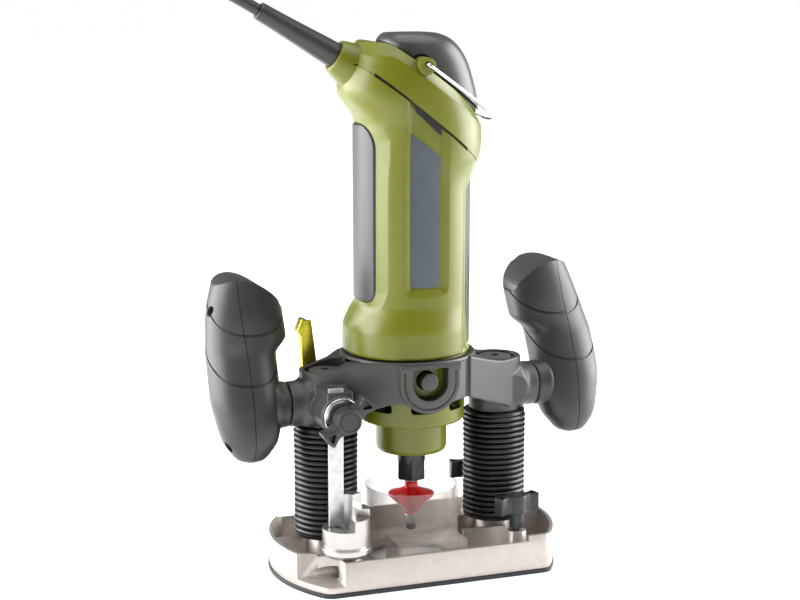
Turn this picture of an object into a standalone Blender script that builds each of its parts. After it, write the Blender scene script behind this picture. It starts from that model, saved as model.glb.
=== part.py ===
"""Plunge router: a small trim router clamped in a two-column plunge base.

Metres, +Z up.  The origin is the centre of the sole's underside, on the spindle
axis; -Y is the front, where the label and the spindle-lock button are.
Everything with a GAP to its neighbour touches it on the real machine.
"""
import math

import bmesh
import bpy
from mathutils import Matrix, Vector

GAP = 0.0003

# Base
BASE_HALF_LENGTH = 0.0937      # sole centre to the middle of either round end
BASE_HALF_WIDTH = 0.0548
BASE_END_RADIUS = 0.0890
BASE_CORNER_RADIUS = 0.0085
SOLE_THICKNESS = 0.0025
FLOOR_TOP = 0.0066             # upper side of the casting's floor
WALL_TOP = 0.0216              # long walls
LEFT_END_TOP = 0.0232
RIGHT_END_TOP = 0.0254
BOSS_SEAT = 0.0252             # top of the column and knob bosses
WALL = 0.0030
CUTTER_HOLE = 0.0285
KNOB_SPOT = (0.0586, 0.0378)   # guide-rod clamp screws, front one at -Y
KNOB_HEIGHT = 0.0120
WING_REACH = 0.0152
ROD_HOLE_Z = 0.0112            # the guide rods pass under the clamp screws
ROD_HOLE_RADIUS = 0.0042

# Columns and plunge
COLUMN_X = 0.0584
COLUMN_RADIUS = 0.0060
BUSH_RADIUS = 0.0086
PLUNGE_TRAVEL = 0.0320
BOSS_RADIUS = 0.0168
BOSS_BOTTOM = 0.0980
BOSS_TOP = 0.1335
BELLOWS_BOTTOM = 0.0258
BELLOWS_TOP = BOSS_BOTTOM - GAP
BELLOWS_RADIUS = 0.0208
BELLOWS_RIBS = 9

# Plunge housing and handles
COLLAR_X = -0.0025             # the clamp ring's centre, a little left of the spindle
COLLAR_RADIUS = 0.0431
COLLAR_BORE = 0.0368
COLLAR_BOTTOM = 0.1150
COLLAR_TOP = 0.1418
NECK_Z = 0.1125
NECK_RADIUS = 0.0146
NECK_END = 0.0842
HANDLE_SEAM = 0.1105
HANDLE_WALL = 0.0032
# height, inner side, outer side, lean to the back, half the depth
HANDLE_STATIONS = (
    (0.0788, 0.1070, 0.1130, -0.0060, 0.0030),
    (0.0812, 0.1010, 0.1190, -0.0058, 0.0092),
    (0.0855, 0.0968, 0.1228, -0.0052, 0.0130),
    (0.0930, 0.0918, 0.1272, -0.0035, 0.0172),
    (0.1060, 0.0888, 0.1305, 0.0000, 0.0198),
    (0.1200, 0.0882, 0.1325, 0.0040, 0.0208),
    (0.1440, 0.0874, 0.1318, 0.0148, 0.0210),
    (0.1545, 0.0790, 0.1302, 0.0205, 0.0208),
    (0.1690, 0.0788, 0.1275, 0.0285, 0.0205),
    (0.1920, 0.0796, 0.1200, 0.0365, 0.0195),
)
# The arched top of a handle: outwards from the spindle, and height
HANDLE_ARCH = ((0.0600, 0.1640), (0.0780, 0.1690), (0.0840, 0.1768), (0.0895, 0.1820),
               (0.0957, 0.1862), (0.1020, 0.1887), (0.1090, 0.1896), (0.1160, 0.1885),
               (0.1232, 0.1846), (0.1400, 0.1700))

# Depth stop
TURRET_SPOT = (-0.0578, -0.0372)
TURRET_RADIUS = 0.0157
TURRET_BOTTOM = 0.0219
TURRET_LOW_STEP = 0.0400
TURRET_TOP = 0.0590
BAR_X = -0.0634
BAR_Y = -0.0345
BAR_SIZE = (0.0096, 0.0025)
BAR_TOP = 0.1287
CLAMP_Z = 0.1115
CLAMP_X = -0.0608
CLAMP_FACE = -0.0388
KNOB_Y = -0.0482

LEVER_SPOT = (-0.0615, 0.0202, 0.1180)
LEVER_SCREW = 0.0024

# Spindle lock
LOCK_X = -0.0038
LOCK_Y = -0.0440
LOCK_Z = 0.1290
LOCK_OPENING = 0.0118
LOCK_FRAME = 0.0205
BUTTON_Z = 0.1290
BUTTON_RADIUS = 0.0058

# Motor
NOSE_BOTTOM = 0.0755
BODY_BOTTOM = 0.1426
BODY_CAVITY = 0.0335
PAD_SEAT = 0.0350
PAD_FACE = 0.0372
HEAD_LEFT = (-0.0177, 0.3349)  # two points (x, z) of the head's sloping top
HEAD_RIGHT = (0.0420, 0.2919)
HEAD_LEVEL = 0.3387            # the head's top is level to the left of the slope
HEAD_CHAMFER = (0.0058, 0.0075)
PIVOT_X = -0.0035
PIVOT_Z = 0.3262
SHAFT_RADIUS = 0.0045
NUT_BOTTOM = 0.0560
NUT_TOP = 0.0738
BIT_Z = 0.0452                 # the cutter's widest level

# Cord
BOOT_START = Vector((-0.0500, 0.0, 0.3300))
BOOT_END = Vector((-0.0995, 0.0, 0.3588))
CORD_RADIUS = 0.00375
COIL_CENTRE = (-0.3200, 0.0)
COIL_INNER = 0.02625
COIL_LAYER = 2 * CORD_RADIUS
COIL_TURNS_WIDE = 3
COIL_OUTER = COIL_INNER + COIL_TURNS_WIDE * COIL_LAYER
COIL_TOP = 2 * COIL_LAYER
LEAD_ROUTE = (
    (-0.0998, 0.0000, 0.3590), (-0.1190, 0.0003, 0.3698), (-0.1420, 0.0015, 0.3802),
    (-0.1700, 0.0045, 0.3880), (-0.2000, 0.0095, 0.3900), (-0.2290, 0.0160, 0.3840),
    (-0.2530, 0.0230, 0.3705), (-0.2715, 0.0300, 0.3480), (-0.2835, 0.0360, 0.3160),
    (-0.2890, 0.0410, 0.2700), (-0.2895, 0.0445, 0.2150), (-0.2870, 0.0465, 0.1600),
    (-0.2830, 0.0475, 0.1100), (-0.2790, 0.0478, 0.0680), (-0.2765, 0.0462, 0.0400),
    (-0.2752, 0.0400, 0.0200), (-0.2748, 0.0300, 0.0085),
)
TAIL_ROUTE = (
    (-0.3500, -0.0450, 0.00385), (-0.3570, -0.0452, 0.00430), (-0.3640, -0.0454, 0.00580),
    (-0.3690, -0.0455, 0.00690), (-0.3740, -0.0455, 0.00700),
)
PLUG_START = -0.3744
PLUG_CENTRE = (-0.0455, 0.0070)

ROUND = 24
SMALL_ROUND = 14


# ---------------------------------------------------------------- materials

def material(name, colour, roughness, metallic=0.0, alpha=1.0):
    """A Principled material with one plain finish."""
    finish = bpy.data.materials.new(name)
    finish.use_nodes = True
    shader = finish.node_tree.nodes["Principled BSDF"]
    shader.inputs["Base Color"].default_value = (*colour, 1.0)
    shader.inputs["Roughness"].default_value = roughness
    shader.inputs["Metallic"].default_value = metallic
    shader.inputs["Alpha"].default_value = alpha
    return finish


# ---------------------------------------------------------------- shape helpers

def add_object(name, mesh, finish, location=(0, 0, 0), rotation=(0, 0, 0)):
    """Put a mesh in the router's collection as a named sub-part."""
    mesh.shade_smooth()
    mesh.set_sharp_from_angle(angle=math.radians(35))
    piece = bpy.data.objects.new(name, mesh)
    piece.location = location
    piece.rotation_euler = rotation
    if finish is not None:
        mesh.materials.append(finish)
    PARTS.objects.link(piece)
    return piece


def mesh_from(name, bm):
    bmesh.ops.recalc_face_normals(bm, faces=bm.faces)
    mesh = bpy.data.meshes.new(name)
    bm.to_mesh(mesh)
    bm.free()
    return mesh


def box(name, low, high, finish=None, bevel=0.0):
    """A box between two corners, given from the object's own origin at zero."""
    bm = bmesh.new()
    size = [h - l for l, h in zip(low, high)]
    middle = [(l + h) / 2 for l, h in zip(low, high)]
    place = Matrix.Translation(middle) @ Matrix.Diagonal((*size, 1.0))
    bmesh.ops.create_cube(bm, size=1.0, matrix=place)
    piece = add_object(name, mesh_from(name, bm), finish)
    if bevel:
        rounding = piece.modifiers.new("rounding", "BEVEL")
        rounding.width = bevel
        rounding.segments = 1
    return piece


def cylinder(name, radius, start, end, finish=None, end_radius=None, sides=SMALL_ROUND):
    """A cylinder or cone between two points."""
    start = Vector(start)
    run = Vector(end) - start
    bm = bmesh.new()
    turn = run.to_track_quat("Z", "Y").to_matrix().to_4x4()
    place = Matrix.Translation(start + run / 2) @ turn
    bmesh.ops.create_cone(bm, cap_ends=True, segments=sides, radius1=radius,
                          radius2=radius if end_radius is None else end_radius,
                          depth=run.length, matrix=place)
    return add_object(name, mesh_from(name, bm), finish)


def turned(name, profile, finish=None, closed=True, sides=ROUND, location=(0, 0, 0),
           rotation=(0, 0, 0)):
    """Turn (radius, height) points about Z; a closed profile makes a hollow piece."""
    mesh = bpy.data.meshes.new(name)
    count = len(profile)
    edges = [(i, i + 1) for i in range(count - 1)]
    if closed:
        edges.append((count - 1, 0))
    mesh.from_pydata([(r, 0.0, z) for r, z in profile], edges, [])
    piece = add_object(name, mesh, finish, location, rotation)
    screw = piece.modifiers.new("turning", "SCREW")
    screw.axis = "Z"
    screw.steps = sides
    screw.render_steps = sides
    screw.use_merge_vertices = True
    screw.merge_threshold = 0.00001
    screw.use_smooth_shade = True
    return piece


def prism(name, outline, low, high, finish=None, turn=None):
    """A flat outline, filled, as thick as from low to high along Z (or turned)."""
    curve = bpy.data.curves.new(name, "CURVE")
    curve.dimensions = "2D"
    curve.fill_mode = "BOTH"
    curve.extrude = (high - low) / 2
    line = curve.splines.new("POLY")
    line.points.add(len(outline) - 1)
    for point, (x, y) in zip(line.points, outline):
        point.co = (x, y, 0.0, 1.0)
    line.use_cyclic_u = True
    guide = bpy.data.objects.new(name + "_outline", curve)
    PARTS.objects.link(guide)
    bpy.context.view_layer.update()
    graph = bpy.context.evaluated_depsgraph_get()
    solid = bpy.data.meshes.new_from_object(guide.evaluated_get(graph))
    bpy.data.objects.remove(guide)
    bpy.data.curves.remove(curve)
    bm = bmesh.new()
    bm.from_mesh(solid)
    bpy.data.meshes.remove(solid)
    bmesh.ops.remove_doubles(bm, verts=bm.verts, dist=0.000001)
    bmesh.ops.translate(bm, verts=bm.verts, vec=(0, 0, (low + high) / 2))
    if turn is not None:
        bmesh.ops.transform(bm, verts=bm.verts, matrix=turn)
    return add_object(name, mesh_from(name, bm), finish)


# Stands an outline drawn in X and Z upright: its thickness then runs along Y.
UPRIGHT = Matrix(((1, 0, 0, 0), (0, 0, 1, 0), (0, 1, 0, 0), (0, 0, 0, 1)))


def loft(name, rings, finish=None):
    """Skin a row of equal rings of points and close both ends."""
    bm = bmesh.new()
    rows = [[bm.verts.new(point) for point in ring] for ring in rings]
    count = len(rows[0])
    for lower, upper in zip(rows, rows[1:]):
        for i in range(count):
            j = (i + 1) % count
            bm.faces.new((lower[i], lower[j], upper[j], upper[i]))
    bm.faces.new(rows[0])
    bm.faces.new(rows[-1])
    return add_object(name, mesh_from(name, bm), finish)


def oval_ring(left, right, half_depth, z, middle_y=0.0, power=2.0, count=ROUND):
    """A level ring: an ellipse, or squarer than one where the power is over 2."""
    middle = (left + right) / 2
    ring = []
    for i in range(count):
        angle = 2 * math.pi * i / count
        across = math.copysign(abs(math.cos(angle)) ** (2 / power), math.cos(angle))
        along = math.copysign(abs(math.sin(angle)) ** (2 / power), math.sin(angle))
        ring.append((middle + across * (right - left) / 2, middle_y + along * half_depth, z))
    return ring


def arc(centre, radius, start, end, steps):
    """Points along an arc, angles in degrees."""
    points = []
    for i in range(steps + 1):
        angle = math.radians(start + (end - start) * i / steps)
        points.append((centre[0] + radius * math.cos(angle),
                       centre[1] + radius * math.sin(angle)))
    return points


def boolean(piece, tool, operation):
    """Cut with, add or keep within a second solid, which becomes a hidden guide."""
    change = piece.modifiers.new(operation.lower(), "BOOLEAN")
    change.operation = operation
    change.solver = "MANIFOLD" if piece.name.startswith(MANIFOLD_PIECES) else "EXACT"
    change.object = tool
    tool.hide_render = True
    tool.display_type = "WIRE"
    if tool.name in PARTS.objects:
        PARTS.objects.unlink(tool)
        TOOLS.objects.link(tool)
    return piece


# The exact solver returns nothing on the thin curved shells of these.
MANIFOLD_PIECES = ("motor_housing", "end_cap", "turret", "spindle_nose")


def cut(piece, *tools):
    for tool in tools:
        boolean(piece, tool, "DIFFERENCE")
    return piece


def add(piece, *tools):
    for tool in tools:
        boolean(piece, tool, "UNION")
    return piece


def keep(piece, tool):
    return boolean(piece, tool, "INTERSECT")


def smooth_route(points, steps):
    """Points on a smooth curve through the given ones."""
    route = [Vector(p) for p in points]
    line = []
    for i in range(len(route) - 1):
        before = route[max(i - 1, 0)]
        start, end = route[i], route[i + 1]
        after = route[min(i + 2, len(route) - 1)]
        for k in range(steps):
            t = k / steps
            line.append(0.5 * (2 * start + (end - before) * t
                               + (2 * before - 5 * start + 4 * end - after) * t ** 2
                               + (3 * start - before - 3 * end + after) * t ** 3))
    line.append(route[-1])
    return line


def tube(name, points, radius, finish, bevel_resolution=2, closed=False):
    """A round wire or cord along a list of points."""
    curve = bpy.data.curves.new(name, "CURVE")
    curve.dimensions = "3D"
    curve.bevel_depth = radius
    curve.bevel_resolution = bevel_resolution
    curve.use_fill_caps = not closed
    line = curve.splines.new("POLY")
    line.points.add(len(points) - 1)
    for point, place in zip(line.points, points):
        point.co = (*place, 1.0)
    line.use_cyclic_u = closed
    curve.materials.append(finish)
    piece = bpy.data.objects.new(name, curve)
    PARTS.objects.link(piece)
    return piece


# ---------------------------------------------------------------- base

def base_outline(inset):
    """The sole's plan: straight long sides, round ends and small round corners."""
    half_length = BASE_HALF_LENGTH - inset
    half_width = BASE_HALF_WIDTH - inset
    end_radius = BASE_END_RADIUS - inset
    corner = max(BASE_CORNER_RADIUS - inset, 0.002)
    centre_x = half_length - end_radius
    corner_y = half_width - corner
    corner_x = centre_x + math.sqrt((end_radius - corner) ** 2 - corner_y ** 2)
    lean = math.degrees(math.atan2(corner_y, corner_x - centre_x))
    quarter = arc((centre_x, 0), end_radius, 0, lean, 6)
    quarter += arc((corner_x, corner_y), corner, lean, 90, 4)[1:]
    left = [(-x, y) for x, y in reversed(quarter)]
    upper = quarter + left
    lower = [(x, -y) for x, y in reversed(upper)][1:-1]
    return upper + lower


def sole_plate():
    plate = prism("sole_plate", base_outline(0.0), 0.0, SOLE_THICKNESS, BLACK)
    return cut(plate, cylinder("sole_hole", CUTTER_HOLE, (0, 0, -0.001), (0, 0, 0.004),
                               sides=ROUND))


def notch_outline(margin):
    """The cut-back front left corner, where a guide rod goes in."""
    return [(-0.0875 - 0.6 * margin, -0.0300 + margin), (-0.0642 + margin, -0.0385 + margin),
            (-0.0642 + margin, -0.0620), (-0.1000, -0.0620), (-0.1000, -0.0250 + margin)]


def base_pocket():
    """What is hollowed out of the casting: its inside, less the notch wall and ribs."""
    pocket = prism("pocket", base_outline(WALL), FLOOR_TOP, 0.0400)
    top = 0.0500
    cut(pocket, prism("notch_wall", notch_outline(WALL), 0.0040, top))
    for number, (low, high) in enumerate((
            ((-0.0950, 0.0040), (-0.0560, 0.0068)), ((0.0560, -0.0012), (0.0980, 0.0016)),
            ((-0.0600, 0.0040), (-0.0572, 0.0560)), ((0.0300, -0.0170), (0.0600, -0.0140)),
            ((0.0300, 0.0140), (0.0600, 0.0170)))):
        cut(pocket, box("rib_%d" % number, (*low, 0.0040), (*high, top)))
    return pocket


def base_bosses():
    """Turned bosses that hold the columns, the depth stop and the clamp screws."""
    bosses = [cylinder("turret_boss", 0.0110, (*TURRET_SPOT, 0.0050), (*TURRET_SPOT, WALL_TOP),
                       end_radius=0.0100)]
    for side, word in ((-1, "left"), (1, "right")):
        x, knob_x, knob_y = side * COLUMN_X, KNOB_SPOT[0], side * KNOB_SPOT[1]
        bosses.append(cylinder(word + "_column_boss", 0.0120, (x, 0, 0.0050), (x, 0, BOSS_SEAT),
                               end_radius=0.0112))
        bosses.append(cylinder("knob_boss_%d" % side, 0.0082, (knob_x, knob_y, 0.0050),
                               (knob_x, knob_y, BOSS_SEAT), end_radius=0.0058))
    return bosses


def base_casting():
    casting = prism("base_casting", base_outline(0.0006), SOLE_THICKNESS + GAP,
                    RIGHT_END_TOP, CAST_ALUMINIUM)
    high = 0.0450
    low_middle = box("low_middle", (-0.0760, -0.0700, WALL_TOP), (0.0605, 0.0700, high))
    low_left = box("low_left", (-0.1100, -0.0700, LEFT_END_TOP), (-0.0750, 0.0700, high))
    cut(casting, base_pocket(), low_middle, low_left)
    add(casting, *base_bosses())
    cut(casting, prism("notch", notch_outline(0.0), FLOOR_TOP, high),
        cylinder("casting_hole", CUTTER_HOLE, (0, 0, 0), (0, 0, 0.0300), sides=ROUND))
    for side in (-1, 1):
        rod_y = side * KNOB_SPOT[1]
        column = cylinder("column_seat_%d" % side, COLUMN_RADIUS + GAP,
                          (side * COLUMN_X, 0, 0.0098), (side * COLUMN_X, 0, high))
        rods = cylinder("rod_hole_%d" % side, ROD_HOLE_RADIUS, (-0.1100, rod_y, ROD_HOLE_Z),
                        (0.1100, rod_y, ROD_HOLE_Z), sides=12)
        screw = cylinder("clamp_thread_%d" % side, 0.0033, (KNOB_SPOT[0], rod_y, ROD_HOLE_Z),
                         (KNOB_SPOT[0], rod_y, high), sides=12)
        cut(casting, column, rods, screw)
    thread = cylinder("turret_thread", 0.0029, (*TURRET_SPOT, 0.0162), (*TURRET_SPOT, high),
                      sides=12)
    return cut(casting, thread)


def columns():
    for side, word in ((-1, "left"), (1, "right")):
        x = side * COLUMN_X
        cylinder(word + "_column", COLUMN_RADIUS, (x, 0, 0.0100), (x, 0, BOSS_TOP - 0.0042),
                 STEEL)
        screw = turned(word + "_stop_screw",
                       [(0.0, 0.0046), (0.0056, 0.0046), (0.0062, 0.0040), (0.0062, 0.0022),
                        (0.0098, 0.0022), (0.0104, 0.0016), (0.0104, 0.0), (0.0, 0.0)],
                       DARK_STEEL, closed=False, sides=16, location=(x, 0, BOSS_TOP - 0.0039))
        cut(screw, cylinder(word + "_hex_socket", 0.0028, (x, 0, BOSS_TOP - 0.0020),
                            (x, 0, BOSS_TOP + 0.0060), sides=6))


def bellows_and_springs():
    """Rubber bellows round each column, with the return spring inside."""
    pitch = (BELLOWS_TOP - BELLOWS_BOTTOM) / BELLOWS_RIBS
    valley = BELLOWS_RADIUS - 0.0022
    profile = [(valley, BELLOWS_TOP)]
    for rib in range(BELLOWS_RIBS):
        crest = BELLOWS_TOP - (rib + 0.5) * pitch
        profile.append((BELLOWS_RADIUS, crest))
        profile.append((valley, crest - 0.5 * pitch))
    inside = valley - 0.0020
    profile += [(inside, BELLOWS_BOTTOM), (inside, BELLOWS_TOP)]
    for side, word in ((-1, "left"), (1, "right")):
        turned(word + "_bellows", profile, BLACK_RUBBER, sides=14,
               location=(side * COLUMN_X, 0, 0))
        turns, per_turn = 6, 8
        low, high = BELLOWS_BOTTOM + 0.0035, BELLOWS_TOP - 0.0035
        coil = []
        for i in range(turns * per_turn + 1):
            angle = 2 * math.pi * i / per_turn
            rise = low + (high - low) * i / (turns * per_turn)
            coil.append((side * COLUMN_X + 0.0105 * math.cos(angle),
                         0.0105 * math.sin(angle), rise))
        tube(word + "_spring", coil, 0.0009, STEEL, bevel_resolution=0)


def guide_knobs():
    """Two-winged screws that clamp the guide rods in the base."""
    for side, word, low in ((-1, "front", 0.0368), (1, "rear", 0.0405)):
        x, y = KNOB_SPOT[0], side * KNOB_SPOT[1]
        knob = cylinder(word + "_guide_knob", 0.0062, (0, 0, low), (0, 0, low + KNOB_HEIGHT),
                        BLACK)
        knob.location = (x, y, 0)
        wing_turn = Matrix.Rotation(math.radians(-12 * side), 4, "Z")
        outline = wing_outline(WING_REACH, 0.0062, 0.0036)
        wings = prism(word + "_wings", outline, low + 0.0006, low + KNOB_HEIGHT + 0.0004,
                      turn=wing_turn)
        stem = cylinder(word + "_stem", 0.0030, (0, 0, low - 0.0180), (0, 0, low + 0.0040),
                        sides=12)
        collar = cylinder(word + "_knob_collar", 0.0046, (0, 0, low - 0.0095),
                          (0, 0, low + 0.0040), sides=12)
        for tool in (wings, stem, collar):
            tool.location = (x, y, 0)
            add(knob, tool)


def wing_outline(reach, waist, tip):
    """Plan of a two-winged knob, long way along X."""
    right = [(reach * 0.99, -tip * 0.9), (reach * 0.99, tip * 0.9), (reach * 0.80, tip * 1.5),
             (waist * 0.95, waist * 0.62)]
    left = [(-x, -y) for x, y in right]
    upper = [(0.0, waist * 0.9)]
    lower = [(0.0, -waist * 0.9)]
    return right + upper + left + lower


# ---------------------------------------------------------------- depth stop

def turret():
    """Stepped depth stop, turning on its screw."""
    x, y = TURRET_SPOT
    r = TURRET_RADIUS
    body = turned("turret", [
        (r - 0.0008, TURRET_TOP), (r - 0.0008, 0.0295), (r - 0.0014, 0.0290),
        (r - 0.0014, 0.0284), (r, 0.0278), (r, 0.0245), (r - 0.0030, TURRET_BOTTOM),
        (0.0033, TURRET_BOTTOM), (0.0033, TURRET_TOP)], BRIGHT_ALUMINIUM,
        sides=20, location=(x, y, 0))
    for number, (start, end, top) in enumerate(((-97, -22, 0.0467), (-34, 30, 0.0515))):
        sector = [(0.0, 0.0), *arc((0, 0), 0.0260, start, end, 6)]
        step = prism("step_%d" % number, sector, top, 0.0700)
        step.location = (x, y, 0)
        cut(body, step)
    low = box("low_step", (-0.0300, -0.0300, TURRET_LOW_STEP), (0.0010, 0.0300, 0.0700))
    low.location = (x, y, 0)
    cut(body, low, cylinder("turret_bore", 0.0065, (x, y, 0.0364), (x, y, 0.0700)))
    turned("turret_screw", [
        (0.0, 0.0394), (0.0050, 0.0394), (0.0055, 0.0388), (0.0055, 0.0366), (0.0026, 0.0366),
        (0.0026, 0.0166), (0.0, 0.0166)], STEEL, closed=False, sides=16, location=(x, y, 0))


def depth_bar():
    half_x, half_y = BAR_SIZE[0] / 2, BAR_SIZE[1] / 2
    bar = box("depth_bar", (-half_x, -half_y, TURRET_LOW_STEP + GAP), (half_x, half_y, BAR_TOP),
              GALVANISED, bevel=0.0003)
    bar.location = (BAR_X, BAR_Y, 0)


def depth_clamp():
    """Wing knob on a screw that holds the depth bar, and its washer."""
    turned("clamp_washer", [(0.0105, 0.0022), (0.0105, 0.0), (0.0037, 0.0), (0.0037, 0.0022)],
           BLACK_RUBBER, sides=24, location=(CLAMP_X, CLAMP_FACE - GAP, CLAMP_Z),
           rotation=(math.radians(90), 0, 0))
    knob = cylinder("depth_clamp_knob", 0.0078, (0, KNOB_Y - 0.0062, 0),
                    (0, KNOB_Y + 0.0060, 0), BLACK)
    knob.location = (CLAMP_X, 0, CLAMP_Z)
    lean = Matrix.Rotation(math.radians(-39), 4, "Y")
    outline = wing_outline(0.0182, 0.0072, 0.0046)
    wings = prism("clamp_wings", outline, KNOB_Y - 0.0040, KNOB_Y + 0.0042, turn=lean @ UPRIGHT)
    screw = cylinder("clamp_screw", 0.0030, (0, KNOB_Y, 0), (0, BAR_Y - 0.0016, 0), sides=12)
    back = cylinder("clamp_knob_back", 0.0058, (0, KNOB_Y, 0), (0, CLAMP_FACE - 0.0028, 0),
                    sides=16)
    for tool in (wings, screw, back):
        tool.location = knob.location
        add(knob, tool)


# ---------------------------------------------------------------- plunge housing

# A web in plan, then the X and Z lines its top and its underside follow.
ARM_PLANS = {
    -1: [(-0.0100, -0.0400), (-0.0228, -0.0380), (-0.0663, -0.0148), (-0.0730, -0.0080),
         (-0.0730, 0.0080), (-0.0640, 0.0155), (-0.0520, 0.0166), (-0.0420, 0.0250),
         (-0.0200, 0.0385)],
    1: [(0.0262, -0.0300), (0.0272, -0.0336), (0.0657, -0.0152), (0.0730, -0.0080),
        (0.0730, 0.0080), (0.0640, 0.0155), (0.0520, 0.0166), (0.0420, 0.0250),
        (0.0180, 0.0370)]}
ARM_TOPS = {
    -1: [(-0.0300, 0.1414), (-0.0446, 0.1395), (-0.0556, 0.1365), (-0.0667, 0.1333)],
    1: [(0.0280, 0.1414), (0.0435, 0.1364), (0.0526, 0.1340), (0.0600, 0.1333)]}
ARM_UNDERSIDE = [(0.0252, 0.1155), (0.0530, 0.1054), (0.0667, 0.1002), (0.0800, 0.0992)]


def arm(name, side):
    """Web from the clamp ring to a column boss: flat front, sloping top and underside."""
    web = prism(name, ARM_PLANS[side], 0.0950, 0.1450)
    top = ARM_TOPS[side]
    above = prism(name + "_above", [(0.0, 0.1600), (0.0, top[0][1])] + top
                  + [(side * 0.0900, top[-1][1]), (side * 0.0900, 0.1600)],
                  -0.0600, 0.0600, turn=UPRIGHT)
    below = prism(name + "_below", [(0.0, 0.0800), (0.0, ARM_UNDERSIDE[0][1])]
                  + [(side * x, z) for x, z in ARM_UNDERSIDE] + [(side * 0.0800, 0.0800)],
                  -0.0600, 0.0600, turn=UPRIGHT)
    return cut(web, above, below)


def lock_outline(reach, top):
    """A round-bottomed window or its frame, drawn in X and Z."""
    bottom = arc((LOCK_X, LOCK_Z), reach, 180, 360, 9)
    return bottom + [(LOCK_X + reach, top), (LOCK_X - reach, top)]


def plunge_housing():
    """Cast body that rides on the columns and clamps the motor."""
    housing = cylinder("plunge_housing", COLLAR_RADIUS, (COLLAR_X, 0, COLLAR_BOTTOM),
                       (COLLAR_X, 0, COLLAR_TOP), HOUSING_GREY, sides=ROUND)
    for side, word in ((-1, "left"), (1, "right")):
        x = side * COLUMN_X
        web = arm(word + "_arm", side)
        boss = cylinder(word + "_boss", BOSS_RADIUS, (x, 0, BOSS_BOTTOM), (x, 0, BOSS_TOP),
                        sides=24)
        neck = cylinder(word + "_neck", NECK_RADIUS, (x, 0, NECK_Z), (side * NECK_END, 0, NECK_Z),
                        sides=24)
        add(housing, web, boss, neck)
    frame = prism("lock_frame", lock_outline(LOCK_FRAME, 0.1405), LOCK_Y, -0.0250, turn=UPRIGHT)
    clamp = cylinder("clamp_boss", 0.0128, (CLAMP_X, CLAMP_FACE, CLAMP_Z), (CLAMP_X, 0, CLAMP_Z),
                     sides=24)
    cheek = box("clamp_cheek", (CLAMP_X - 0.0088, CLAMP_FACE + 0.0015, CLAMP_Z),
                (CLAMP_X + 0.0085, 0, 0.1268))
    add(housing, frame, clamp, cheek)
    cut(housing, cylinder("motor_bore", COLLAR_BORE, (0, 0, 0.0900), (0, 0, 0.1600), sides=36),
        prism("lock_window", lock_outline(LOCK_OPENING, 0.1382), -0.0600, -0.0300,
              turn=UPRIGHT))
    for side, word in ((-1, "left"), (1, "right")):
        x = side * COLUMN_X
        bush = cylinder(word + "_bush_seat", BUSH_RADIUS + GAP, (x, 0, 0.0900),
                        (x, 0, BOSS_TOP - 0.0041))
        shoulder = cylinder(word + "_top_bore", COLUMN_RADIUS + 2 * GAP, (x, 0, 0.1200),
                            (x, 0, 0.1500))
        recess = cylinder(word + "_recess", 0.0122, (x, 0, BOSS_TOP - 0.0042), (x, 0, 0.1600),
                          sides=24)
        bolt = cylinder(word + "_bolt_hole", 0.0040 + GAP, (side * 0.0700, 0, NECK_Z),
                        (side * 0.0900, 0, NECK_Z), sides=16)
        cut(housing, bush, shoulder, recess, bolt)
    slot = box("bar_slot", (BAR_X - 0.0053, BAR_Y - 0.0016, 0.0900),
               (BAR_X + 0.0053, BAR_Y + 0.0016, 0.1400))
    screw = cylinder("clamp_hole", 0.0034, (CLAMP_X, -0.0500, CLAMP_Z), (CLAMP_X, BAR_Y, CLAMP_Z),
                     sides=12)
    x, y, z = LEVER_SPOT
    lever = cylinder("lever_hole", LEVER_SCREW + GAP, (x, 0.0138, z), (x, y, z), sides=12)
    return cut(housing, slot, screw, lever)


def column_bushes():
    for side, word in ((-1, "left"), (1, "right")):
        turned(word + "_column_bush",
               [(BUSH_RADIUS, 0.0292), (BUSH_RADIUS, 0.0), (COLUMN_RADIUS + GAP, 0.0),
                (COLUMN_RADIUS + GAP, 0.0292)], BRONZE, sides=20,
               location=(side * COLUMN_X, 0, BOSS_BOTTOM + 0.0002))


def plunge_lock_lever():
    """Pressed-steel lever behind the left column boss, riveted to its clamp screw."""
    outline = [(-0.0050, -0.0050), (0.0050, -0.0050), (0.0046, 0.0150), (0.0020, 0.0430),
               (-0.0035, 0.0440), (-0.0072, 0.0360), (-0.0050, 0.0330), (-0.0048, 0.0150)]
    lever = prism("plunge_lock_lever", outline, 0.0, 0.0085, LEVER_YELLOW,
                  turn=Matrix.Rotation(math.radians(-2), 4, "Y") @ UPRIGHT)
    lever.location = LEVER_SPOT
    channel = prism("lever_channel", [(-0.0030, -0.0100), (0.0028, -0.0100), (0.0028, 0.0160),
                                      (0.0002, 0.0470), (-0.0022, 0.0470), (-0.0030, 0.0160)],
                    0.0015, 0.0200, turn=UPRIGHT)
    screw = cylinder("lever_screw", LEVER_SCREW, (0, -0.0055, 0), (0, 0.0035, 0), sides=12)
    for tool in (channel, screw):
        tool.location = LEVER_SPOT
    cut(lever, channel)
    add(lever, screw)


# ---------------------------------------------------------------- handles

def handle_skin(name, side, wall):
    """The whole grip, or its hollow when a wall is taken off."""
    rings = []
    for z, inner, outer, back, depth in HANDLE_STATIONS:
        if min(outer - inner, 2 * depth) < 4 * wall:
            continue
        left, right = sorted((side * (inner + wall), side * (outer - wall)))
        rings.append(oval_ring(left, right, depth - wall, z, back, 2.2, 16))
    above = prism(name + "_above", [(side * x, z - wall) for x, z in HANDLE_ARCH]
                  + [(side * 0.1400, 0.2200), (side * 0.0600, 0.2200)], -0.0200, 0.0800,
                  turn=UPRIGHT)
    return cut(loft(name, rings), above)


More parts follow.
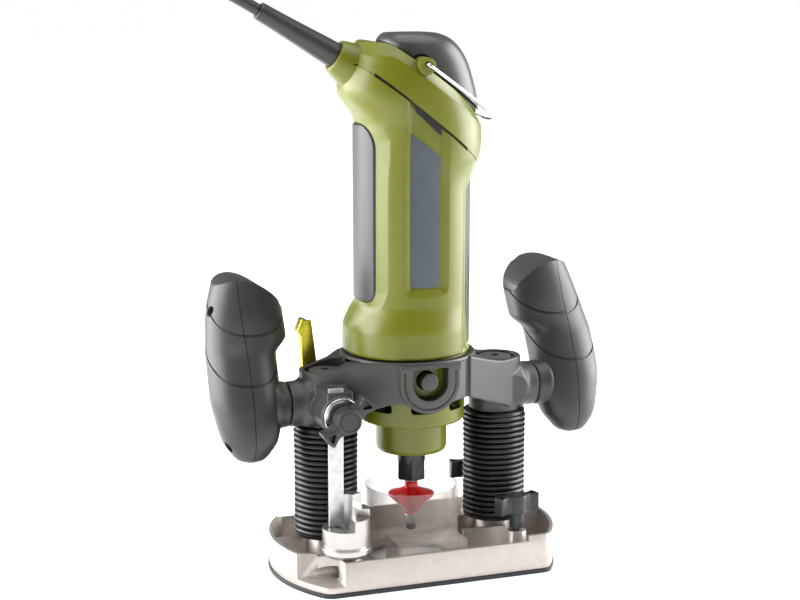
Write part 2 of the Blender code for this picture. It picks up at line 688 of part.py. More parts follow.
def handles():
    for side, word in ((-1, "left"), (1, "right")):
        for half, near, far in (("inner", 0.0500, HANDLE_SEAM - GAP / 2),
                                ("outer", HANDLE_SEAM + GAP / 2, 0.1600)):
            shell = handle_skin("%s_handle_%s" % (word, half), side, 0.0)
            shell.data.materials.append(SOFT_GRIP)
            hollow = handle_skin("%s_%s_hollow" % (word, half), side, HANDLE_WALL)
            if half == "inner":
                add(shell, cylinder(word + "_stub", NECK_RADIUS,
                                    (side * (NECK_END + GAP), 0, NECK_Z),
                                    (side * 0.0950, 0, NECK_Z), sides=24))
            cut(shell, hollow)
            if half == "inner":
                add(shell, cylinder(word + "_bolt_boss", 0.0085, (side * 0.0890, 0, NECK_Z),
                                    (side * 0.0985, 0, NECK_Z), sides=16))
                cut(shell, cylinder(word + "_stub_hole", 0.0040 + GAP,
                                    (side * 0.0800, 0, NECK_Z), (side * 0.1100, 0, NECK_Z),
                                    sides=16))
            low, high = sorted((side * near, side * far))
            keep(shell, box("%s_%s_side" % (word, half), (low, -0.0700, 0.0600),
                            (high, 0.0900, 0.2100)))
        bolt = cylinder(word + "_handle_bolt", 0.0040, (side * 0.0715, 0, NECK_Z),
                        (side * 0.0990, 0, NECK_Z), STEEL, sides=16)
        head = cylinder(word + "_bolt_head", 0.0065, (side * 0.0988, 0, NECK_Z),
                        (side * 0.1040, 0, NECK_Z), sides=6)
        add(bolt, head)


# ---------------------------------------------------------------- motor housing

# height, left side, right side, half the depth
BODY_STATIONS = (
    (BODY_BOTTOM, -0.0434, 0.0352, 0.0397),
    (0.1445, -0.0443, 0.0361, 0.0405),
    (0.1580, -0.0441, 0.0361, 0.0403),
    (0.1668, -0.0408, 0.0362, 0.0386),
    (0.1750, -0.0373, 0.0364, 0.0371),
    (0.1900, -0.0370, 0.0366, 0.0368),
    (0.2450, -0.0370, 0.0369, 0.0368),
    (0.2518, -0.0370, 0.0374, 0.0369),
    (0.2594, -0.0370, 0.0394, 0.0372),
    (0.2680, -0.0370, 0.0430, 0.0378),
    (0.2780, -0.0370, 0.0441, 0.0382),
    (0.2880, -0.0373, 0.0434, 0.0383),
    (0.2975, -0.0414, 0.0418, 0.0382),
    (0.3050, -0.0462, 0.0402, 0.0377),
    (0.3110, -0.0474, 0.0390, 0.0370),
    (0.3200, -0.0455, 0.0366, 0.0356),
    (0.3300, -0.0412, 0.0340, 0.0336),
    (0.3420, -0.0360, 0.0300, 0.0306),
)


def slope_box(name, offset):
    """Everything above the head's sloping top, moved up by the offset."""
    across = Vector((HEAD_RIGHT[0] - HEAD_LEFT[0], 0.0, HEAD_RIGHT[1] - HEAD_LEFT[1]))
    angle = math.atan2(-across.z, across.x)
    slab = box(name, (-0.0900, -0.0600, offset), (0.0900, 0.0600, offset + 0.0800))
    slab.location = ((HEAD_LEFT[0] + HEAD_RIGHT[0]) / 2, 0, (HEAD_LEFT[1] + HEAD_RIGHT[1]) / 2)
    slab.rotation_euler = (0, angle, 0)
    return slab


def body_point(z, angle):
    """Where the body's side is at a height and a direction round the spindle."""
    z = min(max(z, BODY_STATIONS[0][0]), BODY_STATIONS[-1][0])
    for lower, upper in zip(BODY_STATIONS, BODY_STATIONS[1:]):
        if z <= upper[0]:
            break
    share = (z - lower[0]) / (upper[0] - lower[0])
    left, right, depth = [a + (b - a) * share for a, b in zip(lower[1:], upper[1:])]
    across, along = math.cos(angle), math.sin(angle)
    x = (left + right) / 2 + math.copysign(abs(across) ** (2 / 2.15), across) * (right - left) / 2
    return x, math.copysign(abs(along) ** (2 / 2.15), along) * depth


def head_top(x):
    slope = (HEAD_RIGHT[1] - HEAD_LEFT[1]) / (HEAD_RIGHT[0] - HEAD_LEFT[0])
    return min(HEAD_LEVEL, HEAD_LEFT[1] + slope * (x - HEAD_LEFT[0]))


def rim_height(angle):
    """Height at which the body's side ends, under the chamfer round the head's top."""
    low, high = 0.2400, 0.3420
    for _ in range(30):
        z = (low + high) / 2
        if z > head_top(body_point(z, angle)[0]) - HEAD_CHAMFER[1]:
            high = z
        else:
            low = z
    return low


def motor_skin(name, finish):
    """The closed outside of the motor housing with its cord gland."""
    angles = [2 * math.pi * i / 26 for i in range(26)]
    rims = [rim_height(angle) for angle in angles]
    rings = [[(*body_point(station[0], angle), station[0]) for angle in angles]
             for station in BODY_STATIONS[:9]]
    for step in range(1, 8):
        ring = []
        for angle, rim in zip(angles, rims):
            z = 0.2650 + (rim - 0.2650) * step / 7
            ring.append((*body_point(z, angle), z))
        rings.append(ring)
    top = []
    for x, y, z in rings[-1]:
        reach = math.hypot(x + 0.0020, y)
        inner_x = x - HEAD_CHAMFER[0] * (x + 0.0020) / reach
        top.append((inner_x, y - HEAD_CHAMFER[0] * y / reach, head_top(inner_x)))
    rings.append(top)
    rings.append([(0.9 * x, 0.05 * y, head_top(0.9 * x)) for x, y, _ in top])
    skin = loft(name, rings, finish)
    along = (BOOT_END - BOOT_START).normalized()
    gland = cylinder(name + "_gland", 0.0165, BOOT_START - along * 0.0190,
                     BOOT_START + along * 0.0010, end_radius=0.0092, sides=24)
    add(skin, gland)
    return skin


def motor_hollow(name):
    """The space inside the motor housing, open to the nose and to the end cap."""
    rings = [oval_ring(-BODY_CAVITY, BODY_CAVITY, BODY_CAVITY, z, 0.0, 2.0, 24)
             for z in (0.1300, 0.2900)]
    rings.append(oval_ring(-0.0330, 0.0180, 0.0300, 0.3030, 0.0, 2.0, 24))
    hollow = loft(name, rings)
    along = (BOOT_END - BOOT_START).normalized()
    bore = cylinder(name + "_gland_bore", 0.0083, BOOT_START - along * 0.0260,
                    BOOT_START + along * 0.0200, sides=16)
    top = cylinder(name + "_top", 0.0150, (0.0040, 0, 0.2950), (0.0040, 0, 0.3600))
    return add(hollow, bore, top)


def side_strip(name, side, low, high, outer, inner, half_angle):
    """A curved strip on one side of the body: a pad, or the seat it lies in."""
    count = 8
    rows = []
    for z, squeeze in ((low, 0.72), (low + 0.006, 1.0), (high - 0.006, 1.0), (high, 0.72)):
        row = []
        for radius, order in ((outer, 1), (inner, -1)):
            for i in range(count + 1):
                angle = math.radians(half_angle) * squeeze * (2 * i / count - 1) * order
                row.append((side * radius * math.cos(angle), radius * math.sin(angle), z))
        rows.append(row)
    return loft(name, rows)


def motor_housing():
    """Front and rear clamshells, met on the plane through the spindle."""
    for word, side in (("front", -1), ("rear", 1)):
        shell = motor_skin("motor_housing_" + word, LIME)
        for face in (-1, 1):
            add(shell, cylinder("pivot_%s_%d" % (word, face), 0.0056,
                                (PIVOT_X, face * 0.0250, PIVOT_Z - 0.0012),
                                (PIVOT_X, face * 0.0362, PIVOT_Z - 0.0012), sides=16))
        cut(shell, motor_hollow(word + "_hollow"))
        for face in (-1, 1):
            cut(shell, cylinder("bail_hole_%s_%d" % (word, face), 0.0016,
                                (PIVOT_X, face * 0.0290, PIVOT_Z),
                                (PIVOT_X, face * 0.0500, PIVOT_Z), sides=10))
        cut(shell, side_strip(word + "_left_seat", -1, 0.1762, 0.2882, 0.0440, PAD_SEAT, 31),
            side_strip(word + "_right_seat", 1, 0.1474, 0.2520, 0.0440, PAD_SEAT, 44))
        if word == "front":
            recess = prism("label_recess", label_outline(0.0018), -0.0450, -0.0348,
                           turn=UPRIGHT)
            cut(shell, recess)
        else:
            cut(shell, box("switch_slot", (-0.0112, 0.0250, 0.2835), (-0.0048, 0.0500, 0.3055)))
        low, high = sorted((side * GAP / 2, side * 0.0800))
        keep(shell, box(word + "_half", (-0.1000, low, 0.1000), (0.1000, high, 0.3800)))


def label_outline(margin):
    """Upright label with a sloping top, drawn in X and Z."""
    return [(-0.0133 - margin, 0.1875 - margin), (0.0054 + margin, 0.1875 - margin),
            (0.0054 + margin, 0.2692 + margin), (-0.0133 - margin, 0.2840 + margin)]


def body_trim():
    """Rubber pads, label, switch slide and the grey end cap."""
    for word, side, low, high, angle in (("left", -1, 0.1762, 0.2882, 31),
                                         ("right", 1, 0.1474, 0.2520, 44)):
        pad = side_strip(word + "_grip_pad", side, low + GAP, high - GAP, PAD_FACE,
                         PAD_SEAT + 2 * GAP, angle - 0.6)
        pad.data.materials.append(SOFT_GRIP)
    prism("label_plate", label_outline(0.0), -0.0354, -0.0351, LABEL_GREY, turn=UPRIGHT)
    slide = box("power_switch", (-0.0055, 0.0388, -0.0065), (0.0055, 0.0418, 0.0065), BLACK,
                bevel=0.0008)
    slide.location = (-0.0080, 0, 0.2925)
    stem = box("switch_stem", (-0.0028, 0.0305, -0.0030), (0.0028, 0.0400, 0.0030))
    stem.location = slide.location
    add(slide, stem)
    box("switch_module", (-0.0165, 0.0130, 0.2880), (0.0010, 0.0266, 0.3000), BLACK,
        bevel=0.0006)


def end_cap():
    """Domed cap over the commutator end, cut to the head's slope."""
    stations = ((0.2850, -0.0240, 0.0420, 0.0300), (0.3010, -0.0236, 0.0408, 0.0300),
                (0.3160, -0.0230, 0.0374, 0.0290), (0.3255, -0.0226, 0.0342, 0.0275),
                (0.3330, -0.0222, 0.0300, 0.0256), (0.3385, -0.0213, 0.0250, 0.0232),
                (0.3414, -0.0196, 0.0206, 0.0206), (0.3432, -0.0174, 0.0155, 0.0175))
    wall = 0.0024
    cap = loft("end_cap", [oval_ring(left, right, depth, z, 0, 2.4, 20) for z, left, right, depth
                           in stations], HOUSING_GREY)
    inner = loft("cap_hollow", [oval_ring(left + wall, right - wall, depth - wall, z - wall, 0,
                                          2.4, 20) for z, left, right, depth in stations])
    cut(cap, inner)
    keep(cap, slope_box("cap_slope", GAP))
    for face in (-1, 1):
        cut(cap, cylinder("cap_notch_%d" % face, 0.0062, (PIVOT_X, face * 0.0150, PIVOT_Z - 0.0012),
                          (PIVOT_X, face * 0.0400, PIVOT_Z - 0.0012), sides=16))


def hanging_bail():
    """Wire loop pivoted on both sides of the head."""
    pivot = Vector((PIVOT_X, 0, PIVOT_Z))
    reach = Vector((0.0548, 0.0, -0.0385))
    arm = [pivot + Vector((0, -0.0312, 0)), pivot + Vector((0, -0.0388, 0))]
    for along, half_width in ((0.30, 0.0362), (0.55, 0.0347), (0.75, 0.0310), (0.90, 0.0235),
                              (0.98, 0.0120)):
        arm.append(pivot + reach * along + Vector((0, -half_width, 0)))
    other = [Vector((p.x, -p.y, p.z)) for p in reversed(arm)]
    tube("hanging_bail", arm + [pivot + reach] + other, 0.0011, BRIGHT_WIRE, bevel_resolution=1)


# ---------------------------------------------------------------- nose, motor, spindle

def spindle_nose():
    """Nose of the motor housing: vented ring, collar and front bearing seat."""
    nose = turned("spindle_nose", [
        (0.0364, BODY_BOTTOM - GAP), (0.0364, 0.1185), (0.0342, 0.1150), (0.0342, 0.0984),
        (0.0332, 0.0968), (0.0236, 0.0962), (0.0236, 0.0785), (0.0205, NOSE_BOTTOM),
        (0.0062, NOSE_BOTTOM), (0.0062, 0.1150), (0.0133, 0.1150), (0.0133, 0.1260),
        (0.0165, 0.1260), (0.0165, 0.1000), (0.0315, 0.1000), (0.0335, 0.1190),
        (0.0335, BODY_BOTTOM - GAP)], LIME, sides=24)
    for i in range(8):
        angle = math.radians(45 * i + 36)
        slot = box("nose_slot_%d" % i, (0.0290, -0.0070, 0.1065), (0.0400, 0.0070, 0.1120))
        slot.rotation_euler = (0, 0, angle)
        cut(nose, slot)
    return cut(nose, cylinder("button_hole", BUTTON_RADIUS + 2 * GAP, (LOCK_X, -0.0500, BUTTON_Z),
                              (LOCK_X, -0.0300, BUTTON_Z), sides=20))


def lock_button():
    """Spindle-lock push button in the housing's window, with the pin that stops the shaft."""
    button = cylinder("spindle_lock_button", BUTTON_RADIUS, (0, -0.0432, 0), (0, -0.0392, 0),
                      DARK_GREY, sides=24)
    button.location = (LOCK_X, 0, BUTTON_Z)
    pin = cylinder("lock_pin", 0.0018, (-LOCK_X, -0.0400, 0), (-LOCK_X, -0.0085, 0), sides=10)
    pin.location = button.location
    return add(button, pin)


def ring_part(name, outer, inner, low, high, finish, sides=16):
    return turned(name, [(outer, high), (outer, low), (inner, low), (inner, high)], finish,
                  sides=sides)


def motor_parts():
    """Fixed inner parts of the motor."""
    ring_part("stator", 0.0330, 0.0185, 0.1880, 0.2320, LAMINATION)
    ring_part("front_bearing", 0.0130, SHAFT_RADIUS + GAP, 0.1153, 0.1240, STEEL)
    ring_part("rear_bearing", 0.0110, SHAFT_RADIUS + GAP, 0.2760, 0.2830, STEEL)
    turned("bearing_bracket", [
        (BODY_CAVITY - GAP, 0.2832), (BODY_CAVITY - GAP, 0.2735), (0.0070, 0.2735),
        (0.0070, 0.2757), (0.0113, 0.2757), (0.0113, 0.2832)], BLACK, sides=20)
    for word, face in (("front", -1), ("rear", 1)):
        low, high = sorted((face * 0.0120, face * 0.0300))
        holder = box(word + "_brush_holder", (-0.0050, low, 0.2460), (0.0050, high, 0.2600), BRONZE)
        channel_low, channel_high = sorted((face * 0.0100, face * 0.0275))
        cut(holder, box(word + "_brush_channel", (-0.0034, channel_low, 0.2492),
                        (0.0034, channel_high, 0.2568)))
        low, high = sorted((face * 0.0099, face * 0.0230))
        box(word + "_carbon_brush", (-0.0031, low, 0.2495), (0.0031, high, 0.2565), CARBON)


def rotor():
    """Everything that turns: shaft, armature, commutator, fan, collet, nut and bit."""
    cylinder("motor_shaft", SHAFT_RADIUS, (0, 0, 0.0790), (0, 0, 0.2860), STEEL)
    bore = SHAFT_RADIUS + GAP
    turned("armature", [
        (0.0095, 0.2610), (0.0095, 0.2450), (0.0085, 0.2440), (0.0130, 0.2370), (0.0165, 0.2310),
        (0.0178, 0.2300), (0.0178, 0.1900), (0.0160, 0.1890), (0.0130, 0.1830), (bore, 0.1820),
        (bore, 0.2610)], COPPER, sides=16)
    fan = ring_part("cooling_fan", 0.0300, SHAFT_RADIUS + GAP, 0.1560, 0.1585, BLACK)
    hub = ring_part("fan_hub", 0.0090, SHAFT_RADIUS + GAP, 0.1570, 0.1700, None)
    add(fan, hub)
    for i in range(9):
        blade = box("fan_blade_%d" % i, (0.0080, -0.0007, 0.1575), (0.0290, 0.0007, 0.1690))
        blade.rotation_euler = (0, 0, math.radians(40 * i))
        add(fan, blade)
    nut = turned("collet_nut", [
        (0.0052, NUT_TOP), (0.0104, NUT_TOP), (0.0104, NUT_BOTTOM), (0.0036, NUT_BOTTOM),
        (0.0036, 0.0600), (0.0052, 0.0660)], DARK_STEEL, sides=18)
    flats = prism("nut_flats", arc((0, 0), 0.0085 / math.cos(math.radians(30)), 12, 312, 5),
                  0.0500, 0.0690)
    top = cylinder("nut_collar", 0.0092, (0, 0, 0.0680), (0, 0, 0.0800))
    keep(nut, add(flats, top))
    router_bit()


def router_bit():
    """Two-winged chamfer cutter on a 6 mm shank, with a guide bearing."""
    bit = turned("router_bit", [
        (0.0, 0.0770), (0.0030, 0.0770), (0.0030, 0.0545), (0.0042, 0.0535), (0.0042, 0.0500),
        (0.0080, 0.0478), (0.0150, BIT_Z + 0.0006), (0.0150, BIT_Z - 0.0006), (0.0045, 0.0345),
        (0.0040, 0.0318), (0.0016, 0.0318), (0.0016, 0.0259), (0.0030, 0.0258),
        (0.0034, 0.0246), (0.0034, 0.0224), (0.0028, 0.0214), (0.0, 0.0214)], CARBIDE_RED,
        closed=False, sides=16)
    for side in (-1, 1):
        gullet = box("gullet_%d" % side, (0.0012, 0.0, 0.0338), (0.0200, 0.0200, 0.0530))
        gullet.rotation_euler = (0, 0, math.radians(35 if side > 0 else 215))
        cut(bit, gullet)
    ring_part("bit_bearing", 0.0042, 0.0019, 0.0262, 0.0314, BRIGHT_WIRE, sides=16)


def chip_shield():
    """Clear cup round the cutter, with a clear box over the front of the opening."""
    low, high = FLOOR_TOP + GAP, 0.0522
    outer, inner = 0.0307, 0.0290
    cup = turned("chip_shield", [
        (outer, high), (outer, 0.0260), (outer, low), (inner, low), (inner, high)], CLEAR,
        sides=28)
    skirt = box("skirt", (-0.0268, -0.0508, low), (0.0190, -0.0240, 0.0275))
    hollow = box("skirt_hollow", (-0.0250, -0.0490, 0.0), (0.0172, -0.0200, 0.0257))
    cut(skirt, hollow, cylinder("skirt_cup", 0.0300, (0, 0, 0), (0, 0, 0.0400), sides=28))
    return add(cup, skirt)


# ---------------------------------------------------------------- cord

def cord():
    """Strain relief, free lead, storage coil and plug."""
    along = (BOOT_END - BOOT_START).normalized()
    cylinder("cord_boot", 0.0079, BOOT_START - along * 0.0030, BOOT_END, BLACK_RUBBER,
             end_radius=0.0055, sides=20)
    lead = smooth_route(LEAD_ROUTE, 2)
    lead[0] = BOOT_END + along * GAP
    tube("cord_lead", lead, CORD_RADIUS, BLACK_RUBBER)
    turned("cord_coil", [
        (COIL_OUTER, COIL_TOP), (COIL_OUTER, 0.0), (COIL_INNER, 0.0), (COIL_INNER, COIL_TOP)],
        BLACK_RUBBER, sides=ROUND, location=(*COIL_CENTRE, 0))
    tube("cord_tail", smooth_route(TAIL_ROUTE, 2), CORD_RADIUS, BLACK_RUBBER)
    y, z = PLUG_CENTRE
    sections = ((0.0, 0.0046, 0.0046), (0.0080, 0.0055, 0.0050), (0.0150, 0.0085, 0.0060),
                (0.0260, 0.0100, 0.0068), (0.0330, 0.0095, 0.0066))
    rings = []
    for step, half_width, half_height in sections:
        rings.append([(PLUG_START - step, y + half_width * math.cos(2 * math.pi * i / 16),
                       z + half_height * math.sin(2 * math.pi * i / 16)) for i in range(16)])
    loft("plug_body", rings, BLACK_RUBBER)
    for word, side in (("front", -1), ("rear", 1)):
        start = PLUG_START - 0.0330 - GAP
        cylinder("plug_pin_" + word, 0.0020, (start, y + side * 0.0062, z),
                 (start - 0.0190, y + side * 0.0062, z), BRIGHT_WIRE, sides=12)


# ---------------------------------------------------------------- build

for old in list(bpy.data.objects):
    bpy.data.objects.remove(old)
PARTS = bpy.data.collections.new("plunge_router")
TOOLS = bpy.data.collections.new("cutters")
bpy.context.scene.collection.children.link(PARTS)
bpy.context.scene.collection.children.link(TOOLS)

LIME = material("lime_plastic", (0.36, 0.42, 0.03), 0.42)
HOUSING_GREY = material("housing_grey", (0.075, 0.072, 0.070), 0.50)
DARK_GREY = material("dark_grey_plastic", (0.065, 0.063, 0.062), 0.45)
SOFT_GRIP = material("soft_grip", (0.055, 0.052, 0.050), 0.62)
BLACK = material("black_plastic", (0.015, 0.015, 0.016), 0.42)
BLACK_RUBBER = material("black_rubber", (0.012, 0.012, 0.013), 0.48)
CAST_ALUMINIUM = material("cast_aluminium", (0.66, 0.64, 0.61), 0.38, 0.85)
BRIGHT_ALUMINIUM = material("bright_aluminium", (0.72, 0.71, 0.70), 0.30, 0.95)
GALVANISED = material("galvanised_steel", (0.60, 0.61, 0.62), 0.38, 0.90)
STEEL = material("ground_steel", (0.55, 0.55, 0.56), 0.25, 1.0)
DARK_STEEL = material("dark_steel", (0.09, 0.09, 0.095), 0.35, 0.80)
BRIGHT_WIRE = material("bright_wire", (0.70, 0.70, 0.71), 0.22, 1.0)
BRONZE = material("bronze", (0.45, 0.30, 0.14), 0.40, 0.90)
COPPER = material("copper", (0.72, 0.36, 0.20), 0.30, 1.0)
CARBON = material("carbon", (0.03, 0.03, 0.03), 0.60)
LAMINATION = material("lamination_steel", (0.20, 0.20, 0.21), 0.45, 0.80)
CARBIDE_RED = material("red_enamel", (0.62, 0.02, 0.02), 0.32)
LEVER_YELLOW = material("passivated_steel", (0.55, 0.50, 0.06), 0.35, 0.70)
LABEL_GREY = material("label_grey", (0.13, 0.16, 0.19), 0.45)
CLEAR = material("clear_plastic", (0.86, 0.80, 0.72), 0.12, 0.0, 0.35)

sole_plate()
base_casting()
columns()
bellows_and_springs()
guide_knobs()
turret()
depth_bar()
depth_clamp()
plunge_housing()
column_bushes()
plunge_lock_lever()
handles()
motor_housing()
body_trim()
end_cap()
hanging_bail()
spindle_nose()
lock_button()
motor_parts()
rotor()
chip_shield()
cord()
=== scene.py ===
import math

import bmesh
import bpy
import numpy as np
from mathutils import Matrix, Vector


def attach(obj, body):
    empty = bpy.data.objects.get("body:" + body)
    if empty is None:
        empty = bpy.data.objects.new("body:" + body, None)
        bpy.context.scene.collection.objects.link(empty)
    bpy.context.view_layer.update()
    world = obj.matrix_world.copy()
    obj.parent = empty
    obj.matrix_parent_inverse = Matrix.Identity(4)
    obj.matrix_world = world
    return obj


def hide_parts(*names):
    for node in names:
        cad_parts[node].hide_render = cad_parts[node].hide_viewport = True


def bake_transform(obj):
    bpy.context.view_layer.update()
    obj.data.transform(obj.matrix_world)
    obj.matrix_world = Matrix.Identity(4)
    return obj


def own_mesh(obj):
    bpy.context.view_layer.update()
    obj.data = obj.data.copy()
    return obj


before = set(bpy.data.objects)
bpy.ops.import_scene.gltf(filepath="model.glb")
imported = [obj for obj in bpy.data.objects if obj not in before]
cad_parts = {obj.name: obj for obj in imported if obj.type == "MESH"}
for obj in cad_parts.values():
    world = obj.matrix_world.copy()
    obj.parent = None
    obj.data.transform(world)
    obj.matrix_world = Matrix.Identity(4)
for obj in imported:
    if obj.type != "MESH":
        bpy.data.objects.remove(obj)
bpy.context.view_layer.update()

MM = 0.001
GAP = 0.0003
UPRIGHT = Matrix(((1, 0, 0, 0), (0, 0, 1, 0), (0, 1, 0, 0), (0, 0, 0, 1)))


# ------------------------------------------------------------ camera and light

def camera():
    """The photograph's long lens, from the front left and a little above."""
    eye = bpy.data.cameras.new("camera")
    eye.lens = 87.75
    eye.sensor_width = 36.0
    eye.clip_start = 0.05
    view = bpy.data.objects.new("camera", eye)
    view.location = (-0.43926, -1.14361, 0.41182)
    view.rotation_euler = (math.radians(90 - 11.006), 0.0, math.radians(-20.673))
    bpy.context.scene.collection.objects.link(view)
    bpy.context.scene.camera = view


def area_light(name, place, target, size, power):
    lamp = bpy.data.lights.new(name, "AREA")
    lamp.shape = "RECTANGLE"
    lamp.size, lamp.size_y = size
    lamp.energy = power
    holder = bpy.data.objects.new(name, lamp)
    holder.location = place
    holder.rotation_euler = (Vector(target) - Vector(place)).to_track_quat("-Z", "Y").to_euler()
    bpy.context.scene.collection.objects.link(holder)


def studio():
    world = bpy.data.worlds.new("studio")
    world.use_nodes = True
    back = world.node_tree.nodes["Background"]
    back.inputs["Color"].default_value = (1.0, 1.0, 1.0, 1.0)
    back.inputs["Strength"].default_value = 0.14
    bpy.context.scene.world = world
    bpy.context.scene.view_settings.view_transform = "Standard"
    middle = (0.0, 0.0, 0.17)
    area_light("left_softbox", (-1.21, 0.47, 0.45), middle, (1.7, 1.3), 66.0)
    area_light("right_softbox", (1.24, -0.13, 0.50), middle, (1.1, 1.3), 46.0)
    overhead = bpy.data.lights.new("overhead", "SUN")
    overhead.energy = 2.85
    overhead.angle = math.radians(70)
    holder = bpy.data.objects.new("overhead", overhead)
    bpy.context.scene.collection.objects.link(holder)
    bm = bmesh.new()
    bmesh.ops.create_grid(bm, x_segments=1, y_segments=1, size=60.0)
    floor = bpy.data.objects.new("floor", bpy.data.meshes.new("floor"))
    bm.to_mesh(floor.data)
    bm.free()
    bpy.context.scene.collection.objects.link(floor)
    finish = bpy.data.materials.new("floor_white")
    finish.use_nodes = True
    shader = finish.node_tree.nodes["Principled BSDF"]
    shader.inputs["Base Color"].default_value = (0.95, 0.95, 0.95, 1)
    shader.inputs["Roughness"].default_value = 0.9
    shader.inputs["Specular IOR Level"].default_value = 0.0
    floor.data.materials.append(finish)
    floor.location.z = -0.0001


# ------------------------------------------------------------ materials

def surface(name, colour, roughness, metallic=0.0, grain=0.0, grain_size=0.35, mottle=0.06,
            mottle_size=9.0, coat=0.0, brushed=None, rough_spread=0.08):
    """A Principled finish: fine bump grain, slow colour mottling and uneven gloss.

    Sizes are in millimetres.  `brushed` stretches the grain along one axis."""
    finish = bpy.data.materials.new(name)
    finish.use_nodes = True
    tree = finish.node_tree
    shader = tree.nodes["Principled BSDF"]
    shader.inputs["Metallic"].default_value = metallic
    shader.inputs["Coat Weight"].default_value = coat
    shader.inputs["Coat Roughness"].default_value = 0.12
    place = tree.nodes.new("ShaderNodeTexCoord")
    slow = tree.nodes.new("ShaderNodeTexNoise")
    slow.inputs["Scale"].default_value = 1000.0 / mottle_size
    slow.inputs["Detail"].default_value = 5.0
    tree.links.new(place.outputs["Object"], slow.inputs["Vector"])
    ramp = tree.nodes.new("ShaderNodeValToRGB")
    ramp.color_ramp.elements[0].position = 0.30
    ramp.color_ramp.elements[1].position = 0.72
    ramp.color_ramp.elements[0].color = (*[c * (1 - mottle) for c in colour], 1)
    ramp.color_ramp.elements[1].color = (*[min(1.0, c * (1 + mottle)) for c in colour], 1)
    tree.links.new(slow.outputs["Fac"], ramp.inputs["Fac"])
    tree.links.new(ramp.outputs["Color"], shader.inputs["Base Color"])
    gloss = tree.nodes.new("ShaderNodeMapRange")
    gloss.inputs["To Min"].default_value = roughness * (1 - rough_spread)
    gloss.inputs["To Max"].default_value = roughness * (1 + rough_spread)
    fine = tree.nodes.new("ShaderNodeTexNoise")
    fine.inputs["Scale"].default_value = 1000.0 / grain_size
    fine.inputs["Detail"].default_value = 3.0
    if brushed is None:
        tree.links.new(place.outputs["Object"], fine.inputs["Vector"])
    else:
        stretch = tree.nodes.new("ShaderNodeMapping")
        stretch.inputs["Scale"].default_value = brushed
        tree.links.new(place.outputs["Object"], stretch.inputs["Vector"])
        tree.links.new(stretch.outputs["Vector"], fine.inputs["Vector"])
    tree.links.new(fine.outputs["Fac"], gloss.inputs["Value"])
    tree.links.new(gloss.outputs["Result"], shader.inputs["Roughness"])
    if grain:
        bump = tree.nodes.new("ShaderNodeBump")
        bump.inputs["Strength"].default_value = 0.6
        bump.inputs["Distance"].default_value = grain * MM
        tree.links.new(fine.outputs["Fac"], bump.inputs["Height"])
        tree.links.new(bump.outputs["Normal"], shader.inputs["Normal"])
    return finish


def clear_finish(name, colour, roughness, facing, edge):
    """Warm clear plastic, lightly scuffed: thin seen square on, denser seen edge on."""
    finish = surface(name, colour, roughness, grain=0.010, grain_size=3.0, mottle=0.05)
    nodes = finish.node_tree.nodes
    shader = nodes["Principled BSDF"]
    shader.inputs["Specular IOR Level"].default_value = 0.9
    weight = nodes.new("ShaderNodeLayerWeight")
    weight.inputs["Blend"].default_value = 0.35
    density = nodes.new("ShaderNodeMapRange")
    density.inputs["To Min"].default_value = facing
    density.inputs["To Max"].default_value = edge
    finish.node_tree.links.new(weight.outputs["Facing"], density.inputs["Value"])
    finish.node_tree.links.new(density.outputs["Result"], shader.inputs["Alpha"])
    return finish


# ------------------------------------------------------------ mesh helpers

def link(name, mesh):
    piece = bpy.data.objects.new(name, mesh)
    bpy.context.scene.collection.objects.link(piece)
    return piece


def freeze(piece):
    """Bake a piece's modifiers into its mesh."""
    bpy.context.view_layer.update()
    graph = bpy.context.evaluated_depsgraph_get()
    solid = bpy.data.meshes.new_from_object(piece.evaluated_get(graph))
    piece.modifiers.clear()
    piece.data = solid
    return piece


def smooth_shade(piece, angle):
    piece.data.shade_smooth()
    piece.data.set_sharp_from_angle(angle=math.radians(angle))
    return piece


def from_bm(name, bm):
    bmesh.ops.recalc_face_normals(bm, faces=bm.faces)
    mesh = bpy.data.meshes.new(name)
    bm.to_mesh(mesh)
    bm.free()
    return link(name, mesh)


def from_grid(name, verts, faces):
    mesh = bpy.data.meshes.new(name)
    mesh.from_pydata(verts, [], faces)
    bm = bmesh.new()
    bm.from_mesh(mesh)
    bpy.data.meshes.remove(mesh)
    return from_bm(name, bm)


def box(name, low, high, bevel=0.0, segments=3):
    bm = bmesh.new()
    size = [h - l for l, h in zip(low, high)]
    middle = [(l + h) / 2 for l, h in zip(low, high)]
    bmesh.ops.create_cube(bm, size=1.0,
                          matrix=Matrix.Translation(middle) @ Matrix.Diagonal((*size, 1.0)))
    piece = from_bm(name, bm)
    if bevel:
        soften(piece, bevel, segments)
    return piece


def soften(piece, width, segments=3, angle=35):
    """Round the sharp edges of a finished piece."""
    rounding = piece.modifiers.new("rounding", "BEVEL")
    rounding.width = width
    rounding.segments = segments
    rounding.limit_method = "ANGLE"
    rounding.angle_limit = math.radians(angle)
    rounding.harden_normals = False
    return freeze(piece)


def cylinder(name, radius, start, end, end_radius=None, sides=48):
    start = Vector(start)
    run = Vector(end) - start
    bm = bmesh.new()
    turn = run.to_track_quat("Z", "Y").to_matrix().to_4x4()
    bmesh.ops.create_cone(bm, cap_ends=True, segments=sides, radius1=radius,
                          radius2=radius if end_radius is None else end_radius,
                          depth=run.length, matrix=Matrix.Translation(start + run / 2) @ turn)
    return from_bm(name, bm)


